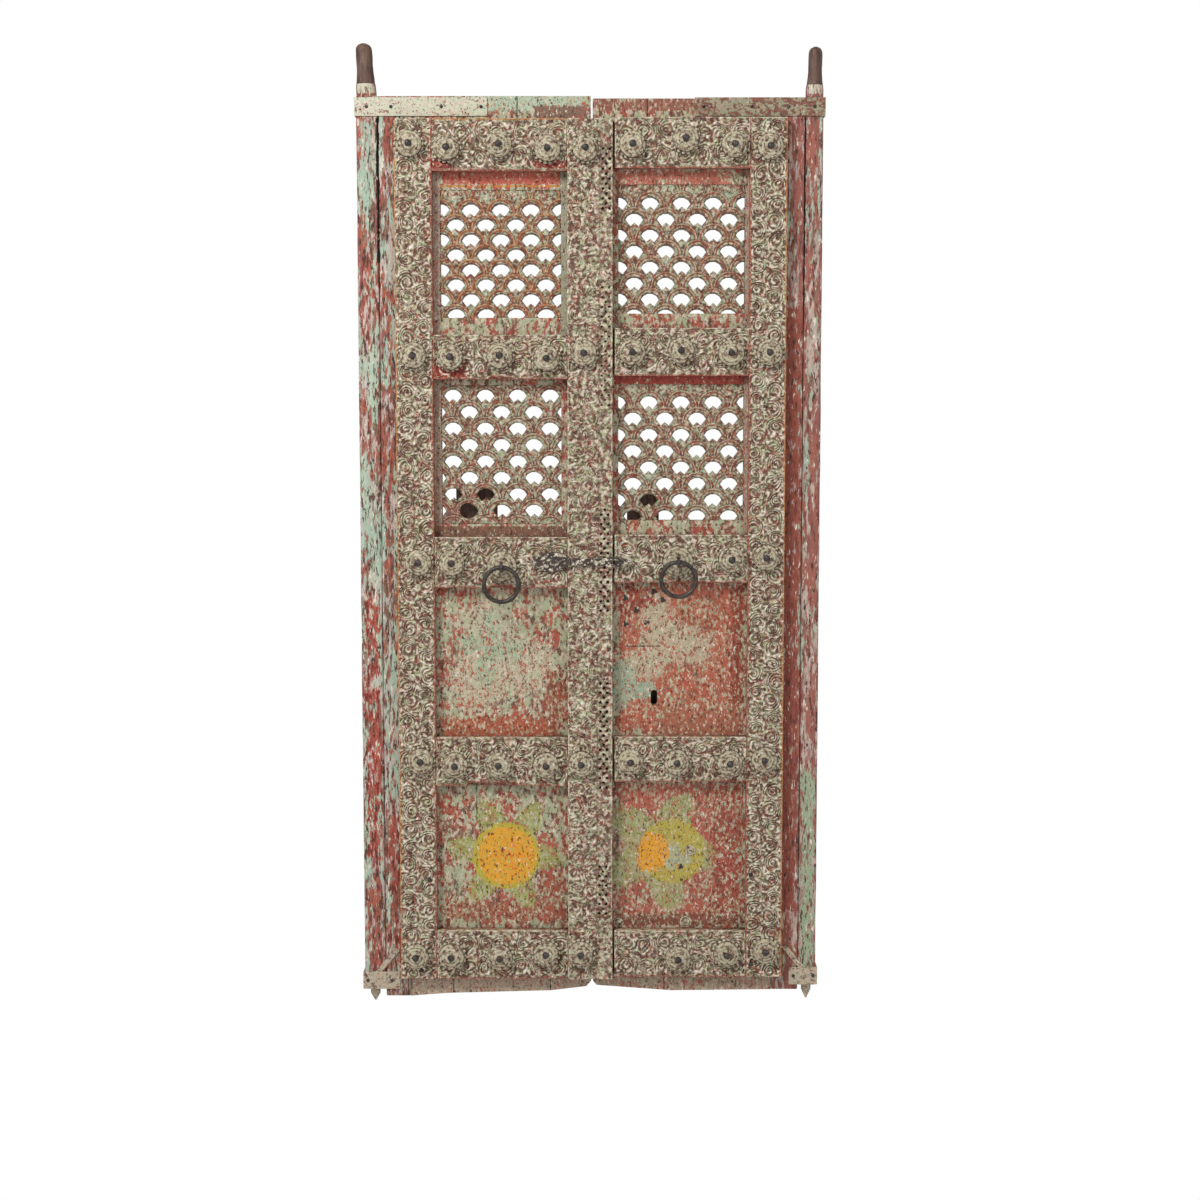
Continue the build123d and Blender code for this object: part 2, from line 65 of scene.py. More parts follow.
def linear(code):
    """Turn an sRGB hex colour into linear red, green, blue and full alpha."""
    parts = [int(code[i:i + 2], 16) / 255 for i in (0, 2, 4)]
    return tuple(p / 12.92 if p <= 0.04045 else ((p + 0.055) / 1.055) ** 2.4 for p in parts) + (1.0,)


def add(tree, kind, sockets=(), **settings):
    """Add a shader node, set its properties, and fill each socket with an earlier output or a plain value."""
    node = tree.nodes.new("ShaderNode" + kind)
    for key, value in settings.items():
        setattr(node, key, value)
    for key, value in dict(sockets).items():
        if isinstance(value, bpy.types.NodeSocket):
            tree.links.new(value, node.inputs[key])
        else:
            node.inputs[key].default_value = value
    return node


def new_material(name):
    """Empty node material, with its tree and the piece's own coordinates."""
    material = bpy.data.materials.new(name)
    material.use_nodes = True
    material.node_tree.nodes.clear()
    return material, material.node_tree, add(material.node_tree, "TexCoord").outputs["Object"]


def brushed(tree, place, size, streak, seed, detail=6.0, roughness=0.62):
    """Noise in spots about size millimetres across, drawn out upwards by streak."""
    moved = add(tree, "Mapping", {"Vector": place, "Scale": (1, 1, 1 / streak),
                                  "Location": (seed, seed * 0.7, seed)})
    return add(tree, "TexNoise", {"Vector": moved.outputs[0], "Scale": 1 / (size * MM), "Detail": detail,
                                  "Roughness": roughness}).outputs["Fac"]


def calc(tree, operation, *values):
    """Output of a math node whose values are given in order."""
    return add(tree, "Math", dict(enumerate(values)), operation=operation).outputs[0]


def ramp(tree, value, low, high, top=1.0):
    """Share that runs from 0 at low to top at high and is held beyond them; high may lie below low."""
    return add(tree, "MapRange", {"Value": value, "From Min": low, "From Max": high, "To Max": top}).outputs[0]


def laid(tree, cover, colour, top):
    """Colour with another laid over it by the share of cover."""
    return add(tree, "Mix", {0: cover, 6: colour, 7: top}, data_type="RGBA").outputs[2]


def over(tree, colour, top, field, low, high):
    """Colour with another laid over it where a field runs from low to high, and the cover that this gives."""
    cover = ramp(tree, field, low, high)
    return laid(tree, cover, colour, top), cover


def zone_field(tree, place, zone, wander):
    """Signed distance in metres to a zone on the front, negative inside, with its edge moved by noise.

    A band is (left, right, foot, head). A disc is (x, z, radius, lobes, depth): its radius grows and shrinks by
    the depth's share as the cosine of lobes times the angle. The distance is at least ZONE_CUT times what a
    point lies past ZONE_DEPTH behind the planks' front, so that no zone reaches a back.
    """
    axes = add(tree, "SeparateXYZ", {0: place}).outputs
    shape, numbers, _, _, stray = zone
    if shape == "band":
        x0, x1, z0, z1 = [n * MM for n in numbers]
        sides = []
        for axis, low, high in ((axes["X"], x0, x1), (axes["Z"], z0, z1)):
            away = calc(tree, "ABSOLUTE", calc(tree, "SUBTRACT", axis, (low + high) / 2))
            sides.append(calc(tree, "SUBTRACT", away, (high - low) / 2))
        far = calc(tree, "MAXIMUM", *sides)
    else:
        cx, cz, radius, lobes, depth = numbers
        dx = calc(tree, "SUBTRACT", axes["X"], cx * MM)
        dz = calc(tree, "SUBTRACT", axes["Z"], cz * MM)
        line = add(tree, "CombineXYZ", {0: dx, 1: dz})
        length = add(tree, "VectorMath", {0: line.outputs[0]}, operation="LENGTH").outputs["Value"]
        turns = calc(tree, "MULTIPLY_ADD", calc(tree, "ARCTAN2", dz, dx), float(lobes), LOBE_START)
        reach = calc(tree, "MULTIPLY_ADD", calc(tree, "COSINE", turns), radius * depth * MM, radius * MM)
        far = calc(tree, "SUBTRACT", length, reach)
    moved = calc(tree, "MULTIPLY_ADD", wander, stray * MM, -stray * MM / 2)
    edge = calc(tree, "ADD", far, moved)
    last = -ZONE_CUT * (PLANK_FRONT + ZONE_DEPTH) * MM
    return calc(tree, "MAXIMUM", edge, calc(tree, "MULTIPLY_ADD", axes["Y"], ZONE_CUT, last))


def weathered(name, coats, zones=(), flecks=(0.40, 0.60, 0.63), streak=1.0, rough=0.8, carved=None):
    """Old oil paint over teak, brushed on in coats and worn by rain and hands: chalky, chipped and dirty.

    A coat is (colour, second colour, share left, size, streak, seed). A zone is a painted band or disc:
    (shape, numbers, colour, share left, wander of its edge). Flecks are noise levels: below the first the
    surface is dark with dirt, above the second it is chalky, and above the third the wine undercoat shows. A
    carved piece has its hollows and ridges coloured by the relief that its points carry, in the two colours
    and shares given: old paint with painted shade in the hollows and rubbed paint with a painted highlight on
    the ridges. Holes and the deepest pits get painted shade in near black.
    """
    material, tree, place = new_material(name)
    grain = brushed(tree, place, size=5, streak=12, seed=3.1, detail=8)
    chips = brushed(tree, place, size=8, streak=streak, seed=8.4, detail=4, roughness=0.62)
    fine = brushed(tree, place, size=5.5, streak=streak, seed=5.2, detail=3, roughness=0.6)
    rust = brushed(tree, place, size=7, streak=streak, seed=1.9, detail=5, roughness=0.68)
    wander = brushed(tree, place, size=16, streak=1, seed=6.6, detail=8, roughness=0.7)
    colour, _ = over(tree, linear(WOOD_DARK), linear(WOOD_MID), grain, 0.36, 0.54)
    colour, _ = over(tree, colour, linear(WOOD_GREY), grain, 0.55, 0.70)
    height = grain
    spots = calc(tree, "MULTIPLY", chips, CHIP_SHARE)
    for first, second, share, size, pull, seed in coats:
        field = brushed(tree, place, size, pull, seed)
        total = calc(tree, "MULTIPLY_ADD", field, 1 - CHIP_SHARE, spots)
        mottle = brushed(tree, place, size / 2, pull, seed + 5)
        tone, _ = over(tree, linear(first), linear(second), mottle, 0.4, 0.6)
        edge = 0.5 - (share - 0.5) * COAT_SPREAD
        colour, cover = over(tree, colour, tone, total, edge - COAT_EDGE, edge + COAT_EDGE)
        height = calc(tree, "MULTIPLY_ADD", cover, 0.4, height)
    for zone in zones:
        _, _, tint, share, stray = zone
        soft = max(stray * 0.35, 0.8) * MM
        fade = ramp(tree, zone_field(tree, place, zone, wander), -soft, soft, ZONE_FADE)
        kept = calc(tree, "SUBTRACT", rust, fade)
        left = 0.5 - (share - 0.5) * ZONE_SPREAD
        colour, _ = over(tree, colour, linear(tint), kept, left - ZONE_EDGE, left + ZONE_EDGE)
    if carved:
        hollow_paint_and_shade, ridge_wear_and_highlight, hollow_paint_and_shade_share, ridge_wear_and_highlight_share = carved
        relief = add(tree, "Attribute", attribute_name="relief").outputs["Fac"]
        level = calc(tree, "ADD", relief, calc(tree, "MULTIPLY_ADD", chips, 1.5, -0.75))
        # Old paint in the hollows with painted shade, and rubbed paint on the ridges with a painted highlight.
        colour = laid(tree, ramp(tree, level, 0.55, 0.15, hollow_paint_and_shade_share), colour, linear(hollow_paint_and_shade))
        colour = laid(tree, ramp(tree, level, 0.66, 0.98, ridge_wear_and_highlight_share), colour, linear(ridge_wear_and_highlight))
        # Painted shade: near black laid into holes and the deepest pits by their negative relief.
        colour, _ = over(tree, colour, linear(PIT_SHADE_BLACK), relief, -0.2, -0.6)
        worn = ramp(tree, rust, 0.40, 0.48, 0.9)
        for key, tint in (("red line", RED_OXIDE), ("orange line", ORANGE)):
            line = add(tree, "Attribute", attribute_name=key).outputs["Fac"]
            colour = laid(tree, calc(tree, "MULTIPLY", line, worn), colour, linear(tint))
    dirt, chalk, red = flecks
    colour, _ = over(tree, colour, linear(WINE), rust, red, red + 0.03)
    colour, _ = over(tree, colour, linear(PALE), fine, chalk, chalk + 0.06)
    colour, _ = over(tree, colour, linear(WOOD_DARK), fine, dirt, dirt - 0.06)
    height = calc(tree, "MULTIPLY_ADD", chips, 0.5, height)
    height = calc(tree, "MULTIPLY_ADD", fine, 0.35, height)
    bump = add(tree, "Bump", {"Strength": 0.9, "Distance": 0.0009, "Height": height})
    shader = add(tree, "BsdfPrincipled", {"Base Color": colour, "Roughness": rough, "IOR": 1.47,
                                          "Normal": bump.outputs[0]})
    add(tree, "OutputMaterial", {"Surface": shader.outputs[0]})
    return material


def hashed(i, j, seed):
    """Repeatable value from 0 to 1 for whole numbers i, j: the fractional part of a large sine."""
    return np.mod(np.sin(i * 127.1 + j * 311.7 + seed * 74.7) * 43758.5453, 1.0)


def drift(u, v, size, seed):
    """Smooth value noise from -1 to 1: hashed corners of square cells, blended by a cubic across each."""
    i, j = np.floor(u / size), np.floor(v / size)
    a, b = u / size - i, v / size - j
    a, b = a * a * (3 - 2 * a), b * b * (3 - 2 * b)
    low = hashed(i, j, seed) * (1 - a) + hashed(i + 1, j, seed) * a
    high = hashed(i, j + 1, seed) * (1 - a) + hashed(i + 1, j + 1, seed) * a
    return 2 * (low * (1 - b) + high * b) - 1


def ease(low, high, value):
    """Cubic step: 0 below low, 1 above high."""
    t = np.clip((value - low) / (high - low), 0, 1)
    return t * t * (3 - 2 * t)


def make_piece(name, verts, faces, body, material, replaces=(), values=None):
    """Smooth mesh from points in metres and lists of corners; it rides on its body and carries values."""
    mesh = bpy.data.meshes.new(name)
    mesh.from_pydata(np.asarray(verts).tolist(), [], faces)
    for key, array in (values or {}).items():
        layer = mesh.attributes.new(key, "FLOAT", "POINT")
        layer.data.foreach_set("value", np.asarray(array, dtype=np.float32).ravel())
    mesh.polygons.foreach_set("use_smooth", [True] * len(mesh.polygons))
    piece = bpy.data.objects.new(name, mesh)
    bpy.context.collection.objects.link(piece)
    mesh.materials.append(material)
    mesh.update()
    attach(piece, body)
    if replaces:
        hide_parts(*replaces)
    return piece


def tube_faces(rows, count):
    """Quads round a stack of closed rings of points, with a many-sided cap at each end."""
    k = np.arange(count)
    quads = []
    for r in range(rows - 1):
        a, b = r * count + k, r * count + (k + 1) % count
        quads += np.stack([a, b, b + count, a + count], 1).tolist()
    return [list(range(count))[::-1]] + quads + [list(range((rows - 1) * count, rows * count))]


def rounded_ring(x0, x1, y0, y1, soft, count):
    """Even points round a rectangle whose corners are arcs of radius soft, with their outward angles."""
    w, d = x1 - x0 - 2 * soft, y1 - y0 - 2 * soft
    quarter = soft * math.pi / 2
    lengths = np.array([w, quarter, d, quarter, w, quarter, d, quarter])
    ends = np.cumsum(lengths)
    s = np.linspace(0, ends[-1], count, endpoint=False)
    part = np.searchsorted(ends, s, side="right")
    t = (s - (ends - lengths)[part]) / lengths[part]
    at = part // 2
    flat = part % 2 == 0
    in_x, in_y = np.array([x0, x1, x1, x0]), np.array([y0, y0, y1, y1])
    in_x, in_y = in_x + np.array([1, -1, -1, 1]) * soft, in_y + np.array([1, 1, -1, -1]) * soft
    to = (at + 1) % 4
    out = (at - 1 + np.where(flat, 0, t)) * math.pi / 2
    x = np.where(flat, in_x[at] + (in_x[to] - in_x[at]) * t, in_x[to])
    y = np.where(flat, in_y[at] + (in_y[to] - in_y[at]) * t, in_y[to])
    return x + soft * np.cos(out), y + soft * np.sin(out), out


def worn_bar(name, box, body, material, replaces, soft, wander, seed, step=16.0):
    """Upright bar: rounded rectangles stacked along Z, each face wandering inwards by smooth noise."""
    (x0, y0, z0), (x1, y1, z1) = [np.array(c) / MM for c in box]
    x, y, out = rounded_ring(x0, x1, y0, y1, soft, RING_POINTS)
    rows = max(int((z1 - z0) / step), 4)
    z = np.concatenate([[z0], np.linspace(z0 + soft / 2, z1 - soft / 2, rows), [z1]])
    inset = np.concatenate([[soft / 2], np.zeros(rows), [soft / 2]])
    zz = np.repeat(z[:, None], len(x), 1)
    around = np.repeat((out * 20)[None], len(z), 0)
    sink = 0.5 + 0.5 * drift(around, zz, 90, seed) + 0.3 * (1 + drift(around, zz, 23, seed))
    sink = wander * sink + inset[:, None]
    verts = np.stack([x[None] - np.cos(out)[None] * sink, y[None] - np.sin(out)[None] * sink, zz], 2)
    return make_piece(name, verts.reshape(-1, 3) * MM, tube_faces(len(z), len(x)), body, material,
                      replaces)


post_zones = {
    "left": [
        ("band", (-489, -441, 300, 900), RED_OXIDE, 0.56, 40),
        ("band", (-441, -389, 70, 420), RED_OXIDE, 0.52, 30),
        ("band", (-402, -399, 60, 1889), "B9713A", 0.5, 3),
        ("band", (-447, -441, 1590, 1889), SHADOW, 0.95, 4.5),
        ("band", (-500, -430, 1940, 1990), "C2BEA6", 0.66, 8),
        ("band", (-489, -450, 1700, 1889), "9DB29E", 0.52, 40)],
    "right": [
        ("band", (430, 500, 1938, 1990), "C6BBA8", 0.62, 8),
        ("band", (405, 450, 200, 1500), "8E4A3B", 0.66, 30),
        ("band", (450, 489, 60, 520), SAGE, 0.6, 30),
        ("band", (398, 402, 60, 1889), ORANGE, 0.6, 3),
        ("band", (449, 452, 1500, 1889), SHADOW, 0.9, 3)],
}
post_coats = {
    "left": [(BRICK, "94524B", 0.70, 30, 9, 1.0), ("9DB29E", "B2C0AA", 0.52, 26, 7, 4.0),
             ("CBBDB4", "B59C92", 0.34, 12, 6, 7.0)],
    "right": [("9E5F50", "88524A", 0.84, 30, 9, 1.0), ("9DB29E", "A3AD98", 0.34, 26, 7, 4.0),
              ("C0ABA0", "A68E84", 0.38, 12, 6, 7.0)],
}
post_paint = {
    "left": weathered("sage and red paint on left post", post_coats["left"], post_zones["left"],
                      (0.40, 0.62, 0.61), streak=4.0),
    "right": weathered("red brown paint on right post", post_coats["right"], post_zones["right"],
                       (0.41, 0.63, 0.60), streak=4.0),
}
bare_pin = weathered("bare worn teak", [("6B5246", WOOD_DARK, 0.8, 20, 6, 2.0)], flecks=(0.36, 0.70, 0.74),
                     streak=8.0, rough=0.6)
PIN_ROWS, PAINTED_SHARE, DOME_START = 26, 0.26, 0.88
for side in ("left", "right"):
    low, high = [np.array(c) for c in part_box(f"{side}_pivot_post")]
    strap_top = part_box(f"{side}_top_strap")[1][2]
    worn_bar(f"{side}_post_body", (low, (high[0], high[1], strap_top + 4 * MM)), f"{side}_leaf",
             post_paint[side], [f"{side}_pivot_post"], POST_SOFT_EDGE, POST_WANDER,
             seed=2.0 if side == "left" else 5.0)
    turn = np.linspace(0, 2 * np.pi, RING_POINTS, endpoint=False)
    base_r = (high[0] - low[0]) / 2 / MM - (1.2 if side == "left" else 0.5)
    middle_x, middle_y = (low[0] + high[0]) / 2 / MM, (low[1] + high[1]) / 2 / MM
    for part, paint in (("painted_neck", post_paint[side]), ("pin", bare_pin)):
        t = np.linspace(0, PAINTED_SHARE, 8)
        if part == "pin":
            t = np.concatenate([np.linspace(PAINTED_SHARE, DOME_START, PIN_ROWS), [0.93, 0.97, 1.0]])
        zz = strap_top / MM + (high[2] - strap_top) / MM * t
        radius = base_r - 3.6 * ease(0.1, 0.55, t) - (0.6 if part == "pin" else 0)
        dome = np.sqrt(np.clip(1 - ((t - DOME_START) / 0.125) ** 2, 0.04, 1))
        radius = radius * np.where(t > DOME_START, dome, 1)
        knots = drift(turn[None] * 12 + 0 * zz[:, None], zz[:, None] + 0 * turn[None], 14, 3.0)
        lean = -1.5 - 6.0 * t if side == "left" else 1.0 + 2.0 * t
        xx = middle_x + lean[:, None] + radius[:, None] * np.cos(turn)[None] * (0.975 - 0.025 * knots)
        yy = middle_y + radius[:, None] * np.sin(turn)[None] * (0.975 - 0.025 * knots)
        grid = np.stack([xx, yy, np.repeat(zz[:, None], RING_POINTS, 1)], 2).reshape(-1, 3) * MM
        make_piece(f"{side}_post_{part}", grid, tube_faces(len(t), RING_POINTS), f"{side}_leaf",
                   paint)

# Planks
# Each leaf is a row of upright planks about 28 mm thick, edge to edge. The outer one stands free beside the
# post, the others lie behind the carved frame and are sawn through in their upper half for the pierced panels.
seams = [("band", (x - 0.8, x + 0.8, z0, z1), SHADOW, 0.85, 2.0) for x, z0, z1 in (
    (-387, 10, 64), (-296, 10, 64), (-86, 10, 64), (160, 10, 64), (-152, 1890, 1945), (-250, 1890, 1945),
    (120, 1890, 1945), (226, 1890, 1945))]
left_zones = [
    ("disc", (-200, 750, 128, 3, 0.2), "BDB499", 0.52, 90),
    ("disc", (-215, 780, 80, 4, 0.3), "9DB394", 0.48, 90),
    ("band", (-329, -48, 560, 640), TERRACOTTA, 0.58, 70),
    ("band", (-100, -48, 560, 740), "96543C", 0.56, 50),
    ("band", (-329, -48, 166, 246), "9C5E45", 0.54, 70), ("band", (-120, -48, 166, 300), "98543E", 0.53, 60),
    ("disc", (-181, 330, 108, 6, 0.3), "9C9C58", 0.54, 44),
    ("disc", (-181, 324, 73, 0, 0.0), "B5A53C", 0.80, 9),
    ("disc", (-178, 324, 66, 0, 0.0), "DE9C2E", 0.62, 16),
    ("disc", (-165, 322, 40, 4, 0.3), "E58A2C", 0.5, 40),
    ("band", (-310, -48, 1752, 1779), "B9604E", 0.70, 8), ("band", (-330, -48, 1746, 1751), ORANGE, 0.62, 3),
    ("band", (-330, -314, 1440, 1779), "B39584", 0.60, 3),
    ("band", (-330, -314, 1010, 1348), "A68A78", 0.60, 3),
    ("band", (-62, -46, 1440, 1779), "A09C84", 0.7, 3), ("band", (-330, -48, 1012, 1036), "7D5A48", 0.7, 4),
    ("band", (-244.5, -243, 400, 482), SHADOW, 0.9, 2), ("band", (-260, -4, 1896, 1945), "ACBBA2", 0.58, 30),
    ("band", (-120, -4, 1888, 1916), "7E6252", 0.66, 14)]
right_zones = [
    ("band", (52, 336, 590, 917), "AE5F46", 0.53, 40), ("disc", (160, 790, 100, 3, 0.3), "BCB498", 0.49, 90),
    ("disc", (80, 690, 56, 3, 0.3), "98AA92", 0.54, 60), ("band", (290, 336, 560, 917), "8E4430", 0.58, 40),
    ("band", (130, 336, 560, 660), "A06048", 0.58, 50), ("disc", (95, 880, 40, 3, 0.3), "8E3F30", 0.54, 40),
    ("band", (52, 336, 166, 490), "A85A48", 0.52, 40), ("disc", (150, 335, 118, 5, 0.25), "9DA168", 0.53, 60),
    ("band", (250, 336, 166, 490), "984838", 0.53, 60),
    ("disc", (177, 334, 72, 0, 0.0), "B0A248", 0.64, 10),
    ("disc", (140, 330, 44, 3, 0.12), "DE9C30", 0.66, 26),
    ("disc", (186, 320, 30, 3, 0.3), "A6A98A", 0.60, 30),
    ("band", (50, 300, 1746, 1784), "AE6452", 0.58, 14), ("band", (50, 336, 1336, 1354), RED_OXIDE, 0.72, 3),
    ("band", (326, 336, 1030, 1784), "B09482", 0.60, 3), ("band", (52, 336, 166, 200), "7E4B39", 0.6, 20),
    ("band", (76, 150, 778, 780), SHADOW, 0.8, 2), ("band", (-6, 336, 1896, 1942), "8F5A4A", 0.56, 30)]
# Small dark discs on the right planks: painted shade where small holes show dark.
right_zones += [("disc", (x, z, 5.5, 3, 0.3), "35302E", 0.85, 7)
                for x, z in ((76, 883), (99, 856), (137, 896), (156, 877), (76, 827), (121, 831), (196, 300))]
left_zones += [("band", (-420, -4, 8, 64), "B49F8A", 0.58, 14)]
right_zones += [("band", (-4, 420, 8, 64), "AC9480", 0.54, 14)]
plank_coats = [(BRICK, RED_OXIDE, 0.66, 30, 1.6, 2.5), ("A0AA8A", "A9A888", 0.50, 22, 1.4, 6.1),
               (CREAM, "B9A592", 0.38, 11, 1.6, 9.0)]
plank_flecks = (0.37, 0.63, 0.62)
plank_paint = {
    "left": weathered("worn paint on left planks", plank_coats, left_zones + seams, plank_flecks, 1.6),
    "right": weathered("worn paint on right planks", plank_coats, right_zones + seams, plank_flecks, 1.6),
}


def finish_node(node, finish):
    """Give a node of the construction model one material in place of its own."""
    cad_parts[node].data.materials.clear()
    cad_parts[node].data.materials.append(finish)


for side in ("left", "right"):
    worn_bar(f"{side}_edge_plank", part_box(f"{side}_outer_plank"), f"{side}_leaf",
             post_paint[side], [f"{side}_outer_plank"], soft=2.0, wander=0.6, seed=7.0)
    for n in (1, 2, 3):
        finish_node(f"{side}_plank_{n}", plank_paint[side])

# Carved stiles, rails and astragal
# Thick teak boards laid over the planks and carved all over with rows of volutes, small leaves between them and
# a plain lip round the edge. Years of paint fill the hollows, and the ridges are rubbed back to chalky cream.
# The hollows' colour also carries painted shade, and the ridges' colour a painted highlight.
STILE_STEP, RAIL_STEP, ASTRAGAL_STEP = 1.4, 1.6, 1.7
VOLUTE_PITCH = 38.8
RIDGE, ECCENTRIC, SPRAY_LEAVES = 6.4, 0.42, 11
RELIEF_DEPTH = 4.6
LIP = 2.2
LEFT_BOWS = {2: (118, 164, 5), 3: (118, 164, 5), 4: (67, 172, 8)}
carved_coats = [("BC9684", BRICK, 0.64, 18, 1.2, 1.7), ("B0AB80", "A9B794", 0.54, 14, 1.1, 3.3),
                ("C8B2A0", "DAD0BA", 0.42, 8, 1.0, 6.3)]
carved_zones = [
    ("band", (-331, -294, 1782, 1802), "A8483A", 0.8, 8), ("band", (-120, -48, 1782, 1799), "A8483A", 0.7, 10),
    ("band", (-331, -261, 1350, 1374), "A8483A", 0.75, 10), ("band", (52, 330, 1338, 1350), "B9623F", 0.4, 4)]
# Carved colours: old paint with painted shade in the hollows, rubbed paint with a painted highlight on ridges.
carved_paint = weathered("carved teak under chalky green paint", carved_coats, carved_zones,
                         flecks=(0.38, 0.63, 0.61), carved=("4E2F24", "F2EADB", 0.72, 0.80))


def volutes(u, v, pitch_u, pitch_v, seed, warp=2.2):
    """Relief from 0 to 1: a chain of volutes whose hand alternates, with leaf sprays in their gaps.

    Each volute is a one-armed spiral: the cosine of eccentric radius over ridge spacing less the angle's share
    of a turn. Its circles are pushed to one side, so the ridges stand wide apart there and close together
    opposite. The sprays are the cosine of a multiple of the angle, bent by the radius.
    """
    u, v = u + warp * drift(u, v, 21, seed), v + warp * drift(u, v, 19, seed + 3)
    i, j = np.floor(u / pitch_u), np.floor(v / pitch_v)
    wide = 0.5 * min(pitch_u, pitch_v)
    du = u - (i + 0.5) * pitch_u + 0.3 * wide * (hashed(i, j, seed) - 0.5)
    dv = v - (j + 0.5) * pitch_v + 0.2 * wide * (hashed(j, i, seed + 1) - 0.5)
    hand = np.where(np.mod(i + j, 2) < 1, 1.0, -1.0)
    lean = hashed(i, j, seed + 4) * 1.6 + np.where(hand > 0, 0.3, 2.2)
    radius = np.hypot(du, dv)
    pushed = radius + ECCENTRIC * (du * np.cos(lean) + dv * np.sin(lean))
    angle = np.arctan2(dv, du)
    spiral = 0.5 + 0.5 * np.cos(2 * np.pi * (pushed / RIDGE - hand * angle / (2 * np.pi)))
    reach = wide * (0.96 + 0.12 * hashed(i, j, seed + 2))
    inside = 1 - ease(reach * 0.9, reach * 1.02, radius)
    spray = 0.5 + 0.5 * np.cos(angle * SPRAY_LEAVES + radius * 0.42 * hand + 6 * hashed(i, j, seed + 5))
    rim = np.exp(-((radius - reach) / 1.3) ** 2)
    return np.clip(inside * spiral + (1 - inside) * 0.9 * spray + 0.6 * rim, 0, 1)


def carved_slab(name, box, body, replaces, relief, step, sag=None, seed=0.0, lines=None):
    """Closed board whose front is a grid, set back from the lip by the depth times one less the relief."""
    (x0, y0, z0), (x1, y1, z1) = [np.array(c) / MM for c in box]
    nx, nz = int((x1 - x0) / step) + 1, int((z1 - z0) / step) + 1
    u, v = np.meshgrid(np.linspace(0, x1 - x0, nx), np.linspace(0, z1 - z0, nz))
    h = relief(u, v, x1 - x0, z1 - z0)
    crumbled = h * (0.74 + 0.26 * drift(u, v, 5.5, seed)) - 0.3 * ease(0.35, 0.7, drift(u, v, 8, seed + 6))
    h = np.where(h > 0, crumbled, h)
    near_x, near_z = np.minimum(u, x1 - x0 - u), np.minimum(v, z1 - z0 - v)
    border = np.minimum(near_x, near_z)
    lip = 1 - ease(LIP * 0.7, LIP * 1.4, border)
    h = h * (1 - lip) + (0.62 + 0.2 * drift(u, v, 9, seed)) * lip
    worn = 0.5 + 0.5 * drift(u + x0, v + z0, 34, seed + 0.3)
    rounded = 2.0 * np.clip(1 - border / 2.0, 0, 1) ** 2
    y = y0 + RELIEF_DEPTH * (1 - h) + 0.6 * worn + rounded
    raised = (sag(u) if sag is not None else 0 * u) * (1 - v / (z1 - z0))
    edge_x = 0.9 * np.abs(drift(v + z0, 0 * v + seed, 28, seed)) * (1 - ease(0, 6, near_x))
    edge_z = 1.1 * np.abs(drift(u + x0, 0 * u + seed, 24, seed + 2)) * (1 - ease(0, 6, near_z))
    x = x0 + u + edge_x * np.where(u < (x1 - x0) / 2, 1, -1)
    z = z0 + v + raised + edge_z * np.where(v < (z1 - z0) / 2, 1, -1)
    front = np.stack([x, y, z], 2).reshape(-1, 3)
    back_left = np.stack([x[:, 0], np.full(nz, y1), z[:, 0]], 1)
    back_right = np.stack([x[:, -1], np.full(nz, y1), z[:, -1]], 1)
    k = np.arange(nz * nx).reshape(nz, nx)
    quads = np.stack([k[:-1, :-1], k[:-1, 1:], k[1:, 1:], k[1:, :-1]], 2).reshape(-1, 4)
    left, right = nz * nx + np.arange(nz), nz * nx + nz + np.arange(nz)
    wall_left = np.stack([left[:-1], k[:-1, 0], k[1:, 0], left[1:]], 1)
    wall_right = np.stack([k[:-1, -1], right[:-1], right[1:], k[1:, -1]], 1)
    back = np.stack([right[:-1], left[:-1], left[1:], right[1:]], 1)
    bottom = [[int(left[0]), int(right[0])] + k[0, ::-1].tolist()]
    top = [k[-1].tolist() + [int(right[-1]), int(left[-1])]]
    faces = np.concatenate([quads, wall_left, wall_right, back]).tolist() + bottom + top
    values = {"relief": h, **(lines(u, v, x1 - x0, z1 - z0) if lines else {})}
    values = {key: np.concatenate([a.ravel(), np.full(2 * nz, 0.3)]) for key, a in values.items()}
    return make_piece(name, np.concatenate([front, back_left, back_right]) * MM, faces, body,
                      carved_paint, replaces, values=values)


def stile_relief(u, v, width, height):
    """A column of volutes beside a narrower one of leaf sprays."""
    outer = width * 0.56
    first = volutes(u, v + 2.5 * np.sin(v / 9), outer, VOLUTE_PITCH, 3.0, 1.2)
    second = volutes(u - outer, v + VOLUTE_PITCH * 0.5, width - outer, VOLUTE_PITCH, 17.0, 4.0)
    return np.where(u < outer, first, second)


def turned_relief(relief):
    """The same carving with left and right exchanged, for the other leaf."""
    return lambda u, v, width, height: relief(width - u, v, width, height)


def rail_relief(u, v, width, height):
    """Two rows of volutes along a rail, under a beaded edge."""
    count = max(round(width / 43), 1)
    h = volutes(u, np.clip(v - 6, 0.01, height - 12.01), width / count, (height - 12) / 2, 5.0, 4.5)
    edge = np.minimum(v, height - v)
    bead = np.exp(-((edge - 5) / 1.3) ** 2) * (0.6 + 0.4 * np.cos(u * 2 * np.pi / 8))
    return np.clip(np.where(edge < 7, 0.3 + 0.5 * bead, h), 0, 1)


def edge_lines(orange, red):
    """Painted lines along a board: each lies along its left, right, foot or head, or is absent."""
    def values(u, v, width, height):
        """Strength of each line at every point, from 1 on the edge to 0 past 3.6 mm."""
        sides = {"left": u, "right": width - u, "foot": v, "head": height - v, None: np.full(u.shape, 99.0)}
        return {"orange line": 1 - ease(2.2, 3.6, sides[orange]), "red line": 1 - ease(2.2, 3.6, sides[red])}
    return values


def cusps(low, high, rise):
    """A shallow bow cut up into the lower edge of a rail between two places across it."""
    return lambda u: rise * ease(low - 5, low + 5, u) * (1 - ease(high - 5, high + 5, u))


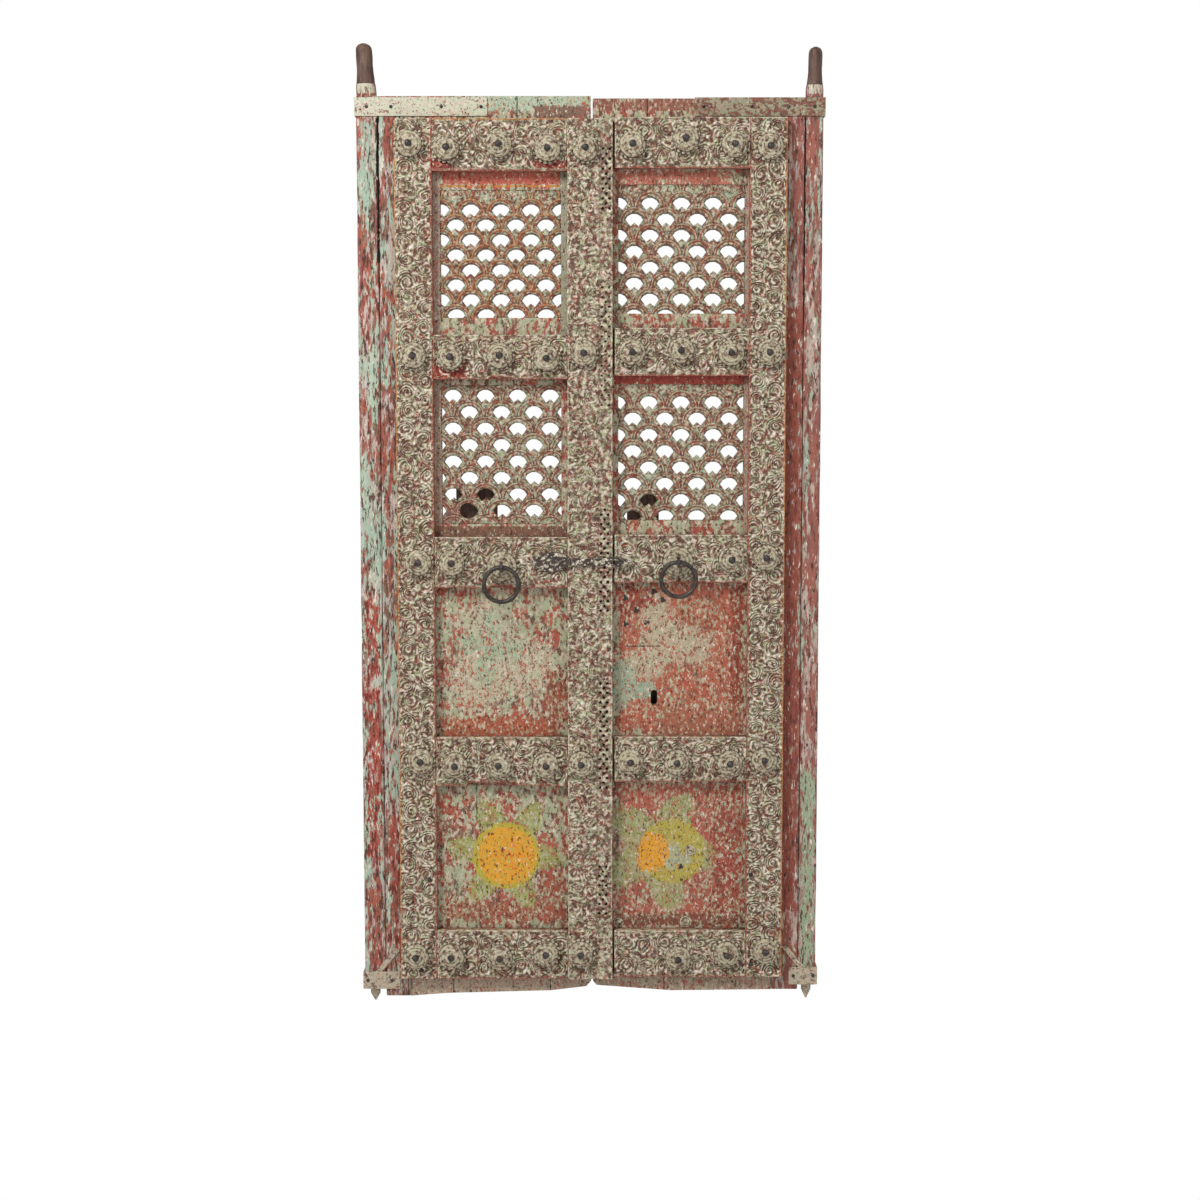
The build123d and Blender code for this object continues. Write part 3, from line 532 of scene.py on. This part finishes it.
for side in ("left", "right"):
    outer, inner = ("left", "right") if side == "left" else ("right", "left")
    carved_slab(f"{side}_stile_carving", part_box(f"{side}_carved_stile"), f"{side}_leaf",
                [f"{side}_carved_stile"], stile_relief if side == "left" else turned_relief(stile_relief),
                STILE_STEP, seed=11.0, lines=edge_lines(outer, inner))
    for n in range(1, 6):
        bow = cusps(*LEFT_BOWS[n]) if side == "left" and n in LEFT_BOWS else None
        carved_slab(f"{side}_rail_{n}_carving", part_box(f"{side}_rail_{n}"), f"{side}_leaf",
                    [f"{side}_rail_{n}"], rail_relief, RAIL_STEP, sag=bow, seed=13.0 + n,
                    lines=edge_lines("head" if side == "left" and n == 1 else None, "foot"))

HOLE_COLUMNS = (75.1, 82.4, 89.8)
HOLE_LEAN = 8.4
HOLE_RISE = 10.2
HOLE_RUNS = ((144, 249, 2.7), (418, 650, 2.9), (798, 1012, 2.6), (1232, 1478, 2.0), (1640, 1765, 2.7))


def astragal_relief(u, v, width, height):
    """Worn volutes and, at the right, a plain leaning band drilled with small holes set like a dice five."""
    lean = HOLE_LEAN * (1 - v / height)
    band = HOLE_COLUMNS[0] - 6 - lean
    h = 0.12 + 0.76 * volutes(u, v, 34.0, VOLUTE_PITCH * 0.93, 8.0, 6.0)
    seam = np.exp(-((u - band) / 1.4) ** 2)
    h = np.where(u > band, 0.50 + 0.32 * drift(u, v, 5, 4.0), h) * (1 - seam) + 0.2 * seam
    for low, high, radius in HOLE_RUNS:
        k = np.round((v - low) / HOLE_RISE)
        near = np.abs(v - low - k * HOLE_RISE)
        column = [np.abs(u + lean - c) for c in HOLE_COLUMNS]
        across = np.where(np.mod(k, 2) > 0.5, column[1], np.minimum(column[0], column[2]))
        hole = (np.hypot(across, near) < radius) & (v > low - 3) & (v < high + 3)
        h = np.where(hole, -1.0, h)
    return h


carved_slab("astragal_carving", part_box("astragal"), "left_leaf", ["astragal"], astragal_relief, ASTRAGAL_STEP,
            seed=21.0, lines=edge_lines(None, None))

# Pierced panels
# The upper planks are carved as fish scales, each sawn through with a fan-shaped hole. Raised arcs run round
# the holes, picked out in red and orange over the green ground, and a small leaf stands in each lower tooth.
JALI_STEP = 2.0
HOLE_HALF, HOLE_LOW, HOLE_TOP = 19.25, -13.75, 13.75
HEAD_RISE, TOOTH, FOOT_HALF = 13.5, 7.0, 8.5
SINK = 4.0
SCALE_BELOW = 6.7
panels = {
    "left_upper": dict(x=-187.5, w=254, pitch_x=63.3, pitch_z=31.3, top=1699.5, shift=0.0,
                       foot=1475, head=1741, bright=1.0),
    "left_lower": dict(x=-187.5, w=254, pitch_x=68.6, pitch_z=34.8, top=1311.0, shift=0.5,
                       foot=1040, head=1334, bright=0.12),
    "right_upper": dict(x=193.0, w=266, pitch_x=66.4, pitch_z=33.4, top=1713.5, shift=0.0,
                        foot=1484, head=1752, bright=0.35),
    "right_lower": dict(x=193.0, w=266, pitch_x=68.2, pitch_z=34.5, top=1297.0, shift=0.0,
                        foot=1048, head=1336, bright=0.2),
}
jali_coats = [(BRICK, "8A5A48", 0.6, 14, 1.2, 2.2), ("9E9C78", "9FAF96", 0.55, 12, 1.1, 5.3),
              ("B5A08C", CREAM, 0.36, 9, 1, 2)]
jali_zones = [("band", (-330, -287, 1020, 1072), "8E7565", 0.8, 6),
              ("band", (-286, -284, 1020, 1072), SHADOW, 0.8, 3)]
# Carved colours: old paint with painted shade in the hollows, rubbed paint with a painted highlight on ridges.
jali_paint = weathered("pierced teak with red and orange arcs", jali_coats, jali_zones,
                       flecks=(0.39, 0.63, 0.62), carved=("5A382B", "DACFBB", 0.8, 0.55))


def fan_distance(dx, dz):
    """Signed distance to a fan-shaped hole, negative inside: the most of a circle, two sides and a tooth."""
    head_r = (HOLE_HALF ** 2 + HEAD_RISE ** 2) / (2 * HEAD_RISE)
    arc = np.hypot(dx, dz - (HOLE_TOP - head_r)) - head_r
    spring = HOLE_TOP - HEAD_RISE
    run, drop = HOLE_HALF - FOOT_HALF, spring - HOLE_LOW
    side = ((np.abs(dx) - HOLE_HALF) * drop - (dz - spring) * run) / math.hypot(run, drop)
    tooth = -((dz - HOLE_LOW - TOOTH) * FOOT_HALF + np.abs(dx) * TOOTH) / math.hypot(FOOT_HALF, TOOTH)
    return np.maximum(np.maximum(arc, side), tooth)


def nearest_hole(x, z, p):
    """Distance to the nearest hole, and the place across and up from the hole whose scale covers a point."""
    best = np.full(x.shape, 1e3)
    scale_dx, scale_dz, ruled = np.full(x.shape, 99.0), np.full(x.shape, 99.0), np.full(x.shape, False)
    for row in range(8, -2, -1):
        offset = np.mod(p["shift"] + 0.5 * row, 1.0)
        dx = x - p["x"]
        dx = dx - (np.round(dx / p["pitch_x"] - offset) + offset) * p["pitch_x"]
        dz = z - (p["top"] - row * p["pitch_z"])
        if 0 <= row < 8:
            best = np.minimum(best, fan_distance(dx, dz))
        take = (np.hypot(dx, dz + SCALE_BELOW) < p["pitch_x"] / 2) & (dz > -SCALE_BELOW - 4) & ~ruled
        scale_dx, scale_dz = np.where(take, dx, scale_dx), np.where(take, dz, scale_dz)
        ruled = ruled | take
    return best, scale_dx, scale_dz


def pierced_skin(name, p, body, broken=None):
    """Skin of a pierced panel: a grid pulled onto the edges of the holes, flat behind, with square walls."""
    x0, x1, z0, z1 = p["x"] - p["w"] / 2, p["x"] + p["w"] / 2, p["foot"], p["head"]
    nx, nz = int((x1 - x0) / JALI_STEP) + 1, int((z1 - z0) / JALI_STEP) + 1
    x, z = np.meshgrid(np.linspace(x0, x1, nx), np.linspace(z0, z1, nz))

    def gap(px, pz):
        """Signed distance to the nearest hole or to the broken corner."""
        best = nearest_hole(px, pz, p)[0]
        if broken is None:
            return best
        return np.minimum(best, np.hypot(px - broken[0], pz - broken[1]) - broken[2])

    d = gap(x, z)
    gx, gz = gap(x + 0.05, z) - gap(x - 0.05, z), gap(x, z + 0.05) - gap(x, z - 0.05)
    size = np.maximum(np.hypot(gx, gz), 1e-6)
    near = np.abs(d) < JALI_STEP * 0.75
    px = np.where(near & (x > x0 + 0.1) & (x < x1 - 0.1), x - d * gx / size, x)
    pz = np.where(near & (z > z0 + 0.1) & (z < z1 - 0.1), z - d * gz / size, z)
    away, dx, dz = nearest_hole(px, pz, p)
    ring = np.hypot(dx, dz + SCALE_BELOW) - p["pitch_x"] / 2
    bevel = (1 - ease(0.3, 2.6, away)) * (dz > -6)
    arcs = 0.5 - 0.7 * np.exp(-((ring + 5.4) / 1.3) ** 2) + 0.6 * np.exp(-((ring + 3.0) / 1.3) ** 2)
    arcs = arcs - 0.7 * np.exp(-((ring + 0.4) / 1.2) ** 2) + 0.3 * drift(px, pz, 4.5, 6.0)
    leaf = np.exp(-(dx / 2.6) ** 2) * ease(-9, -7, dz) * (1 - ease(-4, 2, dz))
    ground = 0.5 + 0.35 * drift(px, pz, 6, 2.0)
    h = np.where(dx < 90, np.clip(arcs + 0.6 * leaf - 0.35 * bevel, 0, 1), ground)
    y = PLANK_FRONT + SINK - 0.4 - 3.4 * h
    orange = p["bright"] * np.exp(-((ring + 3.2) / 1.5) ** 2) * (dx < 90)
    red = 0.8 * np.exp(-((ring + 5.6) / 1.3) ** 2) * (dx < 90) * (1 - bevel)
    mid_x = (px[:-1, :-1] + px[1:, 1:] + px[:-1, 1:] + px[1:, :-1]) / 4
    mid_z = (pz[:-1, :-1] + pz[1:, 1:] + pz[:-1, 1:] + pz[1:, :-1]) / 4
    k = np.arange(nz * nx).reshape(nz, nx)
    quads = np.stack([k[:-1, :-1], k[:-1, 1:], k[1:, 1:], k[1:, :-1]], 2)[gap(mid_x, mid_z) > 0.02]
    used = np.unique(quads)
    renumber = np.zeros(nz * nx, dtype=int)
    renumber[used] = np.arange(len(used))
    quads = renumber[quads]
    front = np.stack([px, y, pz], 2).reshape(-1, 3)[used]
    back = front.copy()
    back[:, 1] = PLANK_FRONT + SINK + 0.5
    edges = np.concatenate([quads[:, [0, 1]], quads[:, [1, 2]], quads[:, [2, 3]], quads[:, [3, 0]]])
    _, first, counts = np.unique(np.sort(edges, 1), axis=0, return_index=True, return_counts=True)
    rim = edges[first[counts == 1]]
    walls = np.stack([rim[:, 1], rim[:, 0], rim[:, 0] + len(used), rim[:, 1] + len(used)], 1)
    faces = np.concatenate([quads, quads[:, ::-1] + len(used), walls]).tolist()
    values = {key: np.tile(a.ravel()[used], 2)
              for key, a in (("relief", h), ("orange line", orange), ("red line", red))}
    make_piece(name, np.concatenate([front, back]) * MM, faces, body, jali_paint, values=values)


pierced_skin("left_upper_scales", panels["left_upper"], "left_leaf")
pierced_skin("left_lower_scales", panels["left_lower"], "left_leaf", broken=(-260, 1068, 17))
pierced_skin("right_upper_scales", panels["right_upper"], "right_leaf")
pierced_skin("right_lower_scales", panels["right_lower"], "right_leaf")

# Bosses and nails
# Turned teak bosses with a toothed rim and a broad grooved dome, each held by one forged nail at its crown.
BOSS_TURN, BOSS_TEETH = 108, 18
BOSS_WIDEN, TOOTH_NOTCH, TOOTH_SLOPE = 1.11, 0.15, 0.6
NAIL_TURN, NAIL_SHRINK = 20, 0.7
boss_coats = [("8C7862", "A07A66", 0.7, 9, 1, 3.0), ("B4AC8C", "C6BCA2", 0.56, 8, 1, 6.0),
              ("CBB7A6", "A5A982", 0.42, 7, 1, 2.0)]
# Carved colours: old paint with painted shade in the hollows, rubbed paint with a painted highlight on ridges.
boss_paint = weathered("chalky paint on teak boss", boss_coats, flecks=(0.37, 0.62, 0.66),
                       carved=("3C2822", "E8E0CE", 0.9, 0.6))


def forged_iron(name, dark, light, rough):
    """Hand-forged iron with scale and rust: dark, uneven and hammer-marked."""
    material, tree, place = new_material(name)
    scale = brushed(tree, place, size=11, streak=1, seed=2.2, detail=8, roughness=0.65)
    marks = add(tree, "TexVoronoi", {"Vector": place, "Scale": 140.0})
    colour, _ = over(tree, linear(dark), linear(light), scale, 0.38, 0.64)
    bump = add(tree, "Bump", {"Strength": 0.6, "Distance": 0.0006, "Height": marks.outputs["Distance"]})
    shader = add(tree, "BsdfPrincipled", {"Base Color": colour, "Roughness": rough, "Metallic": 0.5,
                                          "Normal": bump.outputs[0]})
    add(tree, "OutputMaterial", {"Surface": shader.outputs[0]})
    return material


nail_iron = forged_iron("forged iron nail", "2C2929", "5B5350", 0.5)
ring_iron = forged_iron("forged iron ring", "302C2A", "564C45", 0.45)


def islands(node):
    """Box corners of each separate solid of a node, found by joining triangles that share points."""
    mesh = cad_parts[node].data
    points = np.empty(len(mesh.vertices) * 3)
    mesh.vertices.foreach_get("co", points)
    points = np.round(points.reshape(-1, 3), 5)
    _, same = np.unique(points, axis=0, return_inverse=True)
    same = same.ravel()
    corners = np.empty(len(mesh.loops), dtype=int)
    mesh.loops.foreach_get("vertex_index", corners)
    trios = same[corners].reshape(-1, 3)
    label = np.arange(same.max() + 1)
    while True:
        low = label[trios].min(1)
        joined = label.copy()
        for c in range(3):
            np.minimum.at(joined, trios[:, c], low)
        if (joined == label).all():
            break
        label = joined
    owner = label[same]
    return [(points[owner == g].min(0), points[owner == g].max(0)) for g in np.unique(owner)]


def boss_shape(low, high):
    """One boss: rings from the rim's back to the crown.

    Teeth follow a rounded cosine of the angle round the rim, and two shallow grooves are turned into the dome,
    whose height falls off as a flattened ellipse.
    """
    middle = (low + high) / 2 / MM
    radius = BOSS_WIDEN * (high[0] - low[0]) / 2 / MM
    back, front = high[1] / MM, low[1] / MM
    rim = np.array([[0.97, 0], [1.0, 0.15], [1.0, 0.36], [0.97, 0.46], [0.91, 0.48], [0.87, 0.36]])
    inner = np.array([0.85, 0.82, 0.77, 0.71, 0.66, 0.64, 0.60, 0.54, 0.47, 0.44, 0.41, 0.33, 0.24, 0.13,
                      0.01])
    groove = np.exp(-((inner - 0.65) / 0.018) ** 2) + np.exp(-((inner - 0.435) / 0.018) ** 2)
    dome = 0.42 + 0.58 * (1 - (inner / 0.9) ** 2) ** 0.4 - 0.055 * groove
    share, depth = np.concatenate([rim[:, 0], inner]), np.concatenate([rim[:, 1], dome])
    groove = np.concatenate([[0, 0, 0, 0, 0, 1.4], groove])
    tooth = np.clip((share - 0.84) / 0.1, 0, 1)
    turn = np.linspace(0, 2 * np.pi, BOSS_TURN, endpoint=False)
    notch = (0.5 + 0.5 * np.cos(turn * BOSS_TEETH)) ** 0.35
    cut = tooth[:, None] * (1 - notch[None])
    r = radius * share[:, None] * (1 - TOOTH_NOTCH * cut)
    y = back + (front - back) * depth[:, None] * (1 - TOOTH_SLOPE * cut)
    x, z = middle[0] + r * np.cos(turn)[None], middle[2] + r * np.sin(turn)[None]
    # Relief as colour: painted shade in the notches between teeth and in the grooves, painted highlight on
    # tooth tips.
    tone = np.clip(0.64 - 0.32 * groove, 0, 1)
    relief = tone[:, None] * (1 - 0.95 * cut) + 0.3 * tooth[:, None] * notch[None]
    relief = relief - 0.1 * (1 - tooth[:, None])
    return np.stack([x, y, z], 2).reshape(-1, 3), tube_faces(len(share), BOSS_TURN), relief.ravel()


def nail_shape(low, high):
    """One nail: a low hammered dome on a short neck, and the point that shows behind the planks."""
    middle = (low + high) / 2 / MM
    radius = NAIL_SHRINK * (high[0] - low[0]) / 2 / MM
    front = low[1] / MM
    share = np.array([0.30, 0.30, 1.0, 1.04, 0.95, 0.75, 0.44, 0.06])
    step = np.array([(high[1] - low[1]) / MM, 8.0, 7.6, 6.0, 3.4, 1.4, 0.3, 0.0])
    turn = np.linspace(0, 2 * np.pi, NAIL_TURN, endpoint=False)
    r = radius * share[:, None] * (1 + 0.06 * np.cos(3 * turn + middle[0])[None])
    x, z = middle[0] + r * np.cos(turn)[None], middle[2] + r * np.sin(turn)[None]
    y = front + np.repeat(step[:, None], NAIL_TURN, 1)
    return np.stack([x, y, z], 2).reshape(-1, 3), tube_faces(len(share), NAIL_TURN), np.full(x.size, 0.5)


def gathered(name, node, shape, body, material):
    """One piece of all the like shapes of a node, each made where its solid stands."""
    points, faces, relief, start = [], [], [], 0
    for low, high in islands(node):
        p, f, h = shape(low, high)
        points.append(p)
        relief.append(h)
        faces += [[c + start for c in face] for face in f]
        start += len(p)
    make_piece(name, np.concatenate(points) * MM, faces, body, material, [node],
               values={"relief": np.concatenate(relief)})


for side in ("left", "right"):
    gathered(f"{side}_toothed_bosses", f"{side}_bosses", boss_shape, f"{side}_leaf", boss_paint)
    gathered(f"{side}_forged_nails", f"{side}_nails", nail_shape, f"{side}_leaf", nail_iron)
    gathered(f"{side}_strap_nail_heads", f"{side}_strap_nails", nail_shape, f"{side}_leaf",
             nail_iron)

PEG_TURN, PEG_FRONT = 28, 4.0
pegs = {"foot_peg": (206.5, 178.6, 13.0), "corner_peg": (61.0, 176.8, 11.0),
        "ring_mark": (216.0, 336.0, 11.0)}
for name, (peg_x, peg_z, peg_radius) in pegs.items():
    share = np.array([1.0, 1.02, 0.95, 0.80, 0.70, 0.56, 0.30, 0.02])
    step = np.array([3.0, -0.5, -1.8, -2.2, -1.2, -2.6, -3.6, -PEG_FRONT])
    turn = np.linspace(0, 2 * np.pi, PEG_TURN, endpoint=False)
    r = peg_radius * share[:, None] * (1 + 0.05 * np.cos(3 * turn)[None])
    x, z = peg_x + r * np.cos(turn)[None], peg_z + r * np.sin(turn)[None]
    y = PLANK_FRONT + np.repeat(step[:, None], PEG_TURN, 1)
    # Relief as colour: painted shade at the peg's base and in its groove, a painted highlight on the raised
    # rings.
    tone = np.repeat(np.array([0.1, 0.2, 0.8, 0.7, 0.1, 0.6, 0.6, 0.3])[:, None], PEG_TURN, 1)
    make_piece(f"right_{name}", np.stack([x, y, z], 2).reshape(-1, 3) * MM, tube_faces(len(share), PEG_TURN),
               "right_leaf", boss_paint, values={"relief": tone})

# Straps
# Flat iron bands hammered round the post at head and foot, painted with the wood and chipped at the edges.
strap_paint = {
    "left": weathered("pale painted iron strap", [("7A5548", "94685A", 1.4, 20, 1, 2.0),
                      ("CDC6AE", "BBC4AA", 0.86, 26, 0.5, 5.0), ("D8CDBC", "C2AFA0", 0.40, 12, 0.4, 8.0)],
                      flecks=(0.38, 0.66, 0.59), rough=0.7),
    "right": weathered("rusty painted iron strap", [("6E4336", "8A5A4A", 1.4, 20, 1, 2.0),
                       ("A38F78", "8C9478", 0.54, 16, 0.5, 5.0)], flecks=(0.40, 0.64, 0.60), rough=0.7),
    "foot": weathered("worn painted iron strap", [("6A5046", "8E7364", 1.4, 20, 1, 2.0),
                      ("BBA690", "AFA890", 0.74, 14, 0.6, 5.0)], flecks=(0.40, 0.64, 0.62), rough=0.7),
}
for side in ("left", "right"):
    for node, finish in (("top_strap", strap_paint[side]), ("foot_strap", strap_paint["foot"]),
                         ("corner_patch", strap_paint["foot"]), ("bottom_spike", strap_paint["foot"]),
                         ("eye_bolt", nail_iron)):
        finish_node(f"{side}_{node}", finish)

# Ring handles
# One ring on each leaf, forged from round bar and worn smooth where hands have pulled it.
AROUND, ACROSS, RING_THICKEN = 96, 18, 1.16
for side in ("left", "right"):
    low, high = [np.array(c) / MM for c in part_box(f"{side}_ring")]
    middle = (low + high) / 2
    wire = (high[1] - low[1]) / 2
    radius = (high[0] - low[0]) / 2 - wire
    around = np.linspace(0, 2 * np.pi, AROUND, endpoint=False)
    across = np.linspace(0, 2 * np.pi, ACROSS, endpoint=False)
    thick = wire * (RING_THICKEN + 0.05 * np.sin(around * 5 + 1))[:, None]
    x = middle[0] + (radius + thick * np.cos(across)[None]) * np.cos(around)[:, None]
    z = middle[2] + (radius + thick * np.cos(across)[None]) * np.sin(around)[:, None]
    y = middle[1] + thick * np.sin(across)[None]
    a, c = np.meshgrid(np.arange(AROUND), np.arange(ACROSS), indexing="ij")
    ahead, beside = (a + 1) % AROUND, (c + 1) % ACROSS
    faces = np.stack([a * ACROSS + beside, ahead * ACROSS + beside, ahead * ACROSS + c, a * ACROSS + c], 2)
    make_piece(f"{side}_pull_ring", np.stack([x, y + 0 * x, z], 2).reshape(-1, 3) * MM,
               faces.reshape(-1, 4).tolist(), f"{side}_ring", ring_iron, [f"{side}_ring"])

# Hasp
# Forged hasp with an almond-shaped hinge plate, painted over as it hung closed, and a bare staple.
hasp_coats = [("2A2321", "4A3A33", 1.5, 20, 1, 2.0), ("D6CBBA", "B5AC94", 0.40, 13, 0.6, 3.0)]
hasp_paint = weathered("painted iron hasp", hasp_coats, flecks=(0.42, 0.66, 0.66), rough=0.6)
for node, finish in (("hasp_plate", hasp_paint), ("hasp", hasp_paint), ("hasp_pin", nail_iron),
                     ("hasp_staple", nail_iron), ("lock_case", nail_iron)):
    finish_node(node, finish)

# Patch boards behind the broken panels
# Rough offcuts nailed on from behind, bare and dark.
for side in ("left", "right"):
    finish_node(f"{side}_back_patch", bare_pin)

# Studio
# A white floor and surround and soft light from the front and above, with a bright side lamp for the relief.
LENS_PX, PICTURE_PX, SENSOR = 2100.0, 1200.0, 36.0
CAMERA_X, CAMERA_BACK, CAMERA_Z, TILT = 0.02126, 4.4599, 1.29875, 5.389
bpy.ops.mesh.primitive_plane_add(size=30, location=(0, 0, 0))
floor = bpy.context.object
floor.name = "studio_floor"
floor_paint, tree, _ = new_material("matt white studio floor")
matt = add(tree, "BsdfDiffuse", {"Color": (0.8, 0.8, 0.8, 1)})
glow = add(tree, "Emission", {"Color": (1, 1, 1, 1), "Strength": 1.0})
seen = add(tree, "LightPath").outputs["Is Camera Ray"]
both = add(tree, "MixShader", {0: seen, 1: matt.outputs[0], 2: glow.outputs[0]})
add(tree, "OutputMaterial", {"Surface": both.outputs[0]})
floor.data.materials.append(floor_paint)

world = bpy.data.worlds.new("white surround")
bpy.context.scene.world = world
world.use_nodes = True
tree = world.node_tree
tree.nodes.clear()
path = add(tree, "LightPath")
direct = add(tree, "Math", {0: path.outputs["Is Camera Ray"], 1: path.outputs["Is Transmission Ray"]},
             operation="MAXIMUM")
level = add(tree, "MapRange", {"Value": direct.outputs[0], "To Min": 0.5, "To Max": 1.0})
sky = add(tree, "Background", {"Color": (1, 1, 1, 1), "Strength": level.outputs[0]})
add(tree, "OutputWorld", {"Surface": sky.outputs[0]})


def soft_lamp(name, place, aim, size, watts):
    """Square area lamp of a given size, turned to face its aim."""
    light = bpy.data.lights.new(name, "AREA")
    light.size, light.energy = size, watts
    lamp = bpy.data.objects.new(name, light)
    bpy.context.collection.objects.link(lamp)
    way = np.array(aim) - np.array(place)
    lamp.location = place
    lamp.rotation_euler = (math.atan2(math.hypot(way[0], way[1]), -way[2]), 0,
                           math.atan2(way[1], way[0]) - math.pi / 2)


soft_lamp("key lamp", (-1.9, -3.0, 3.7), (0, 0, 1.0), 1.2, 122)
soft_lamp("fill lamp", (3.0, -3.6, 2.0), (0, 0, 1.0), 2.2, 32)

camera = bpy.data.cameras.new("view")
camera.sensor_width = SENSOR
camera.lens = SENSOR * LENS_PX / PICTURE_PX
viewer = bpy.data.objects.new("view", camera)
bpy.context.collection.objects.link(viewer)
viewer.location = (CAMERA_X, PLANK_FRONT * MM - CAMERA_BACK, CAMERA_Z)
viewer.rotation_euler = (math.radians(90 - TILT), 0, 0)
bpy.context.scene.camera = viewer
bpy.context.scene.view_settings.view_transform = "Standard"
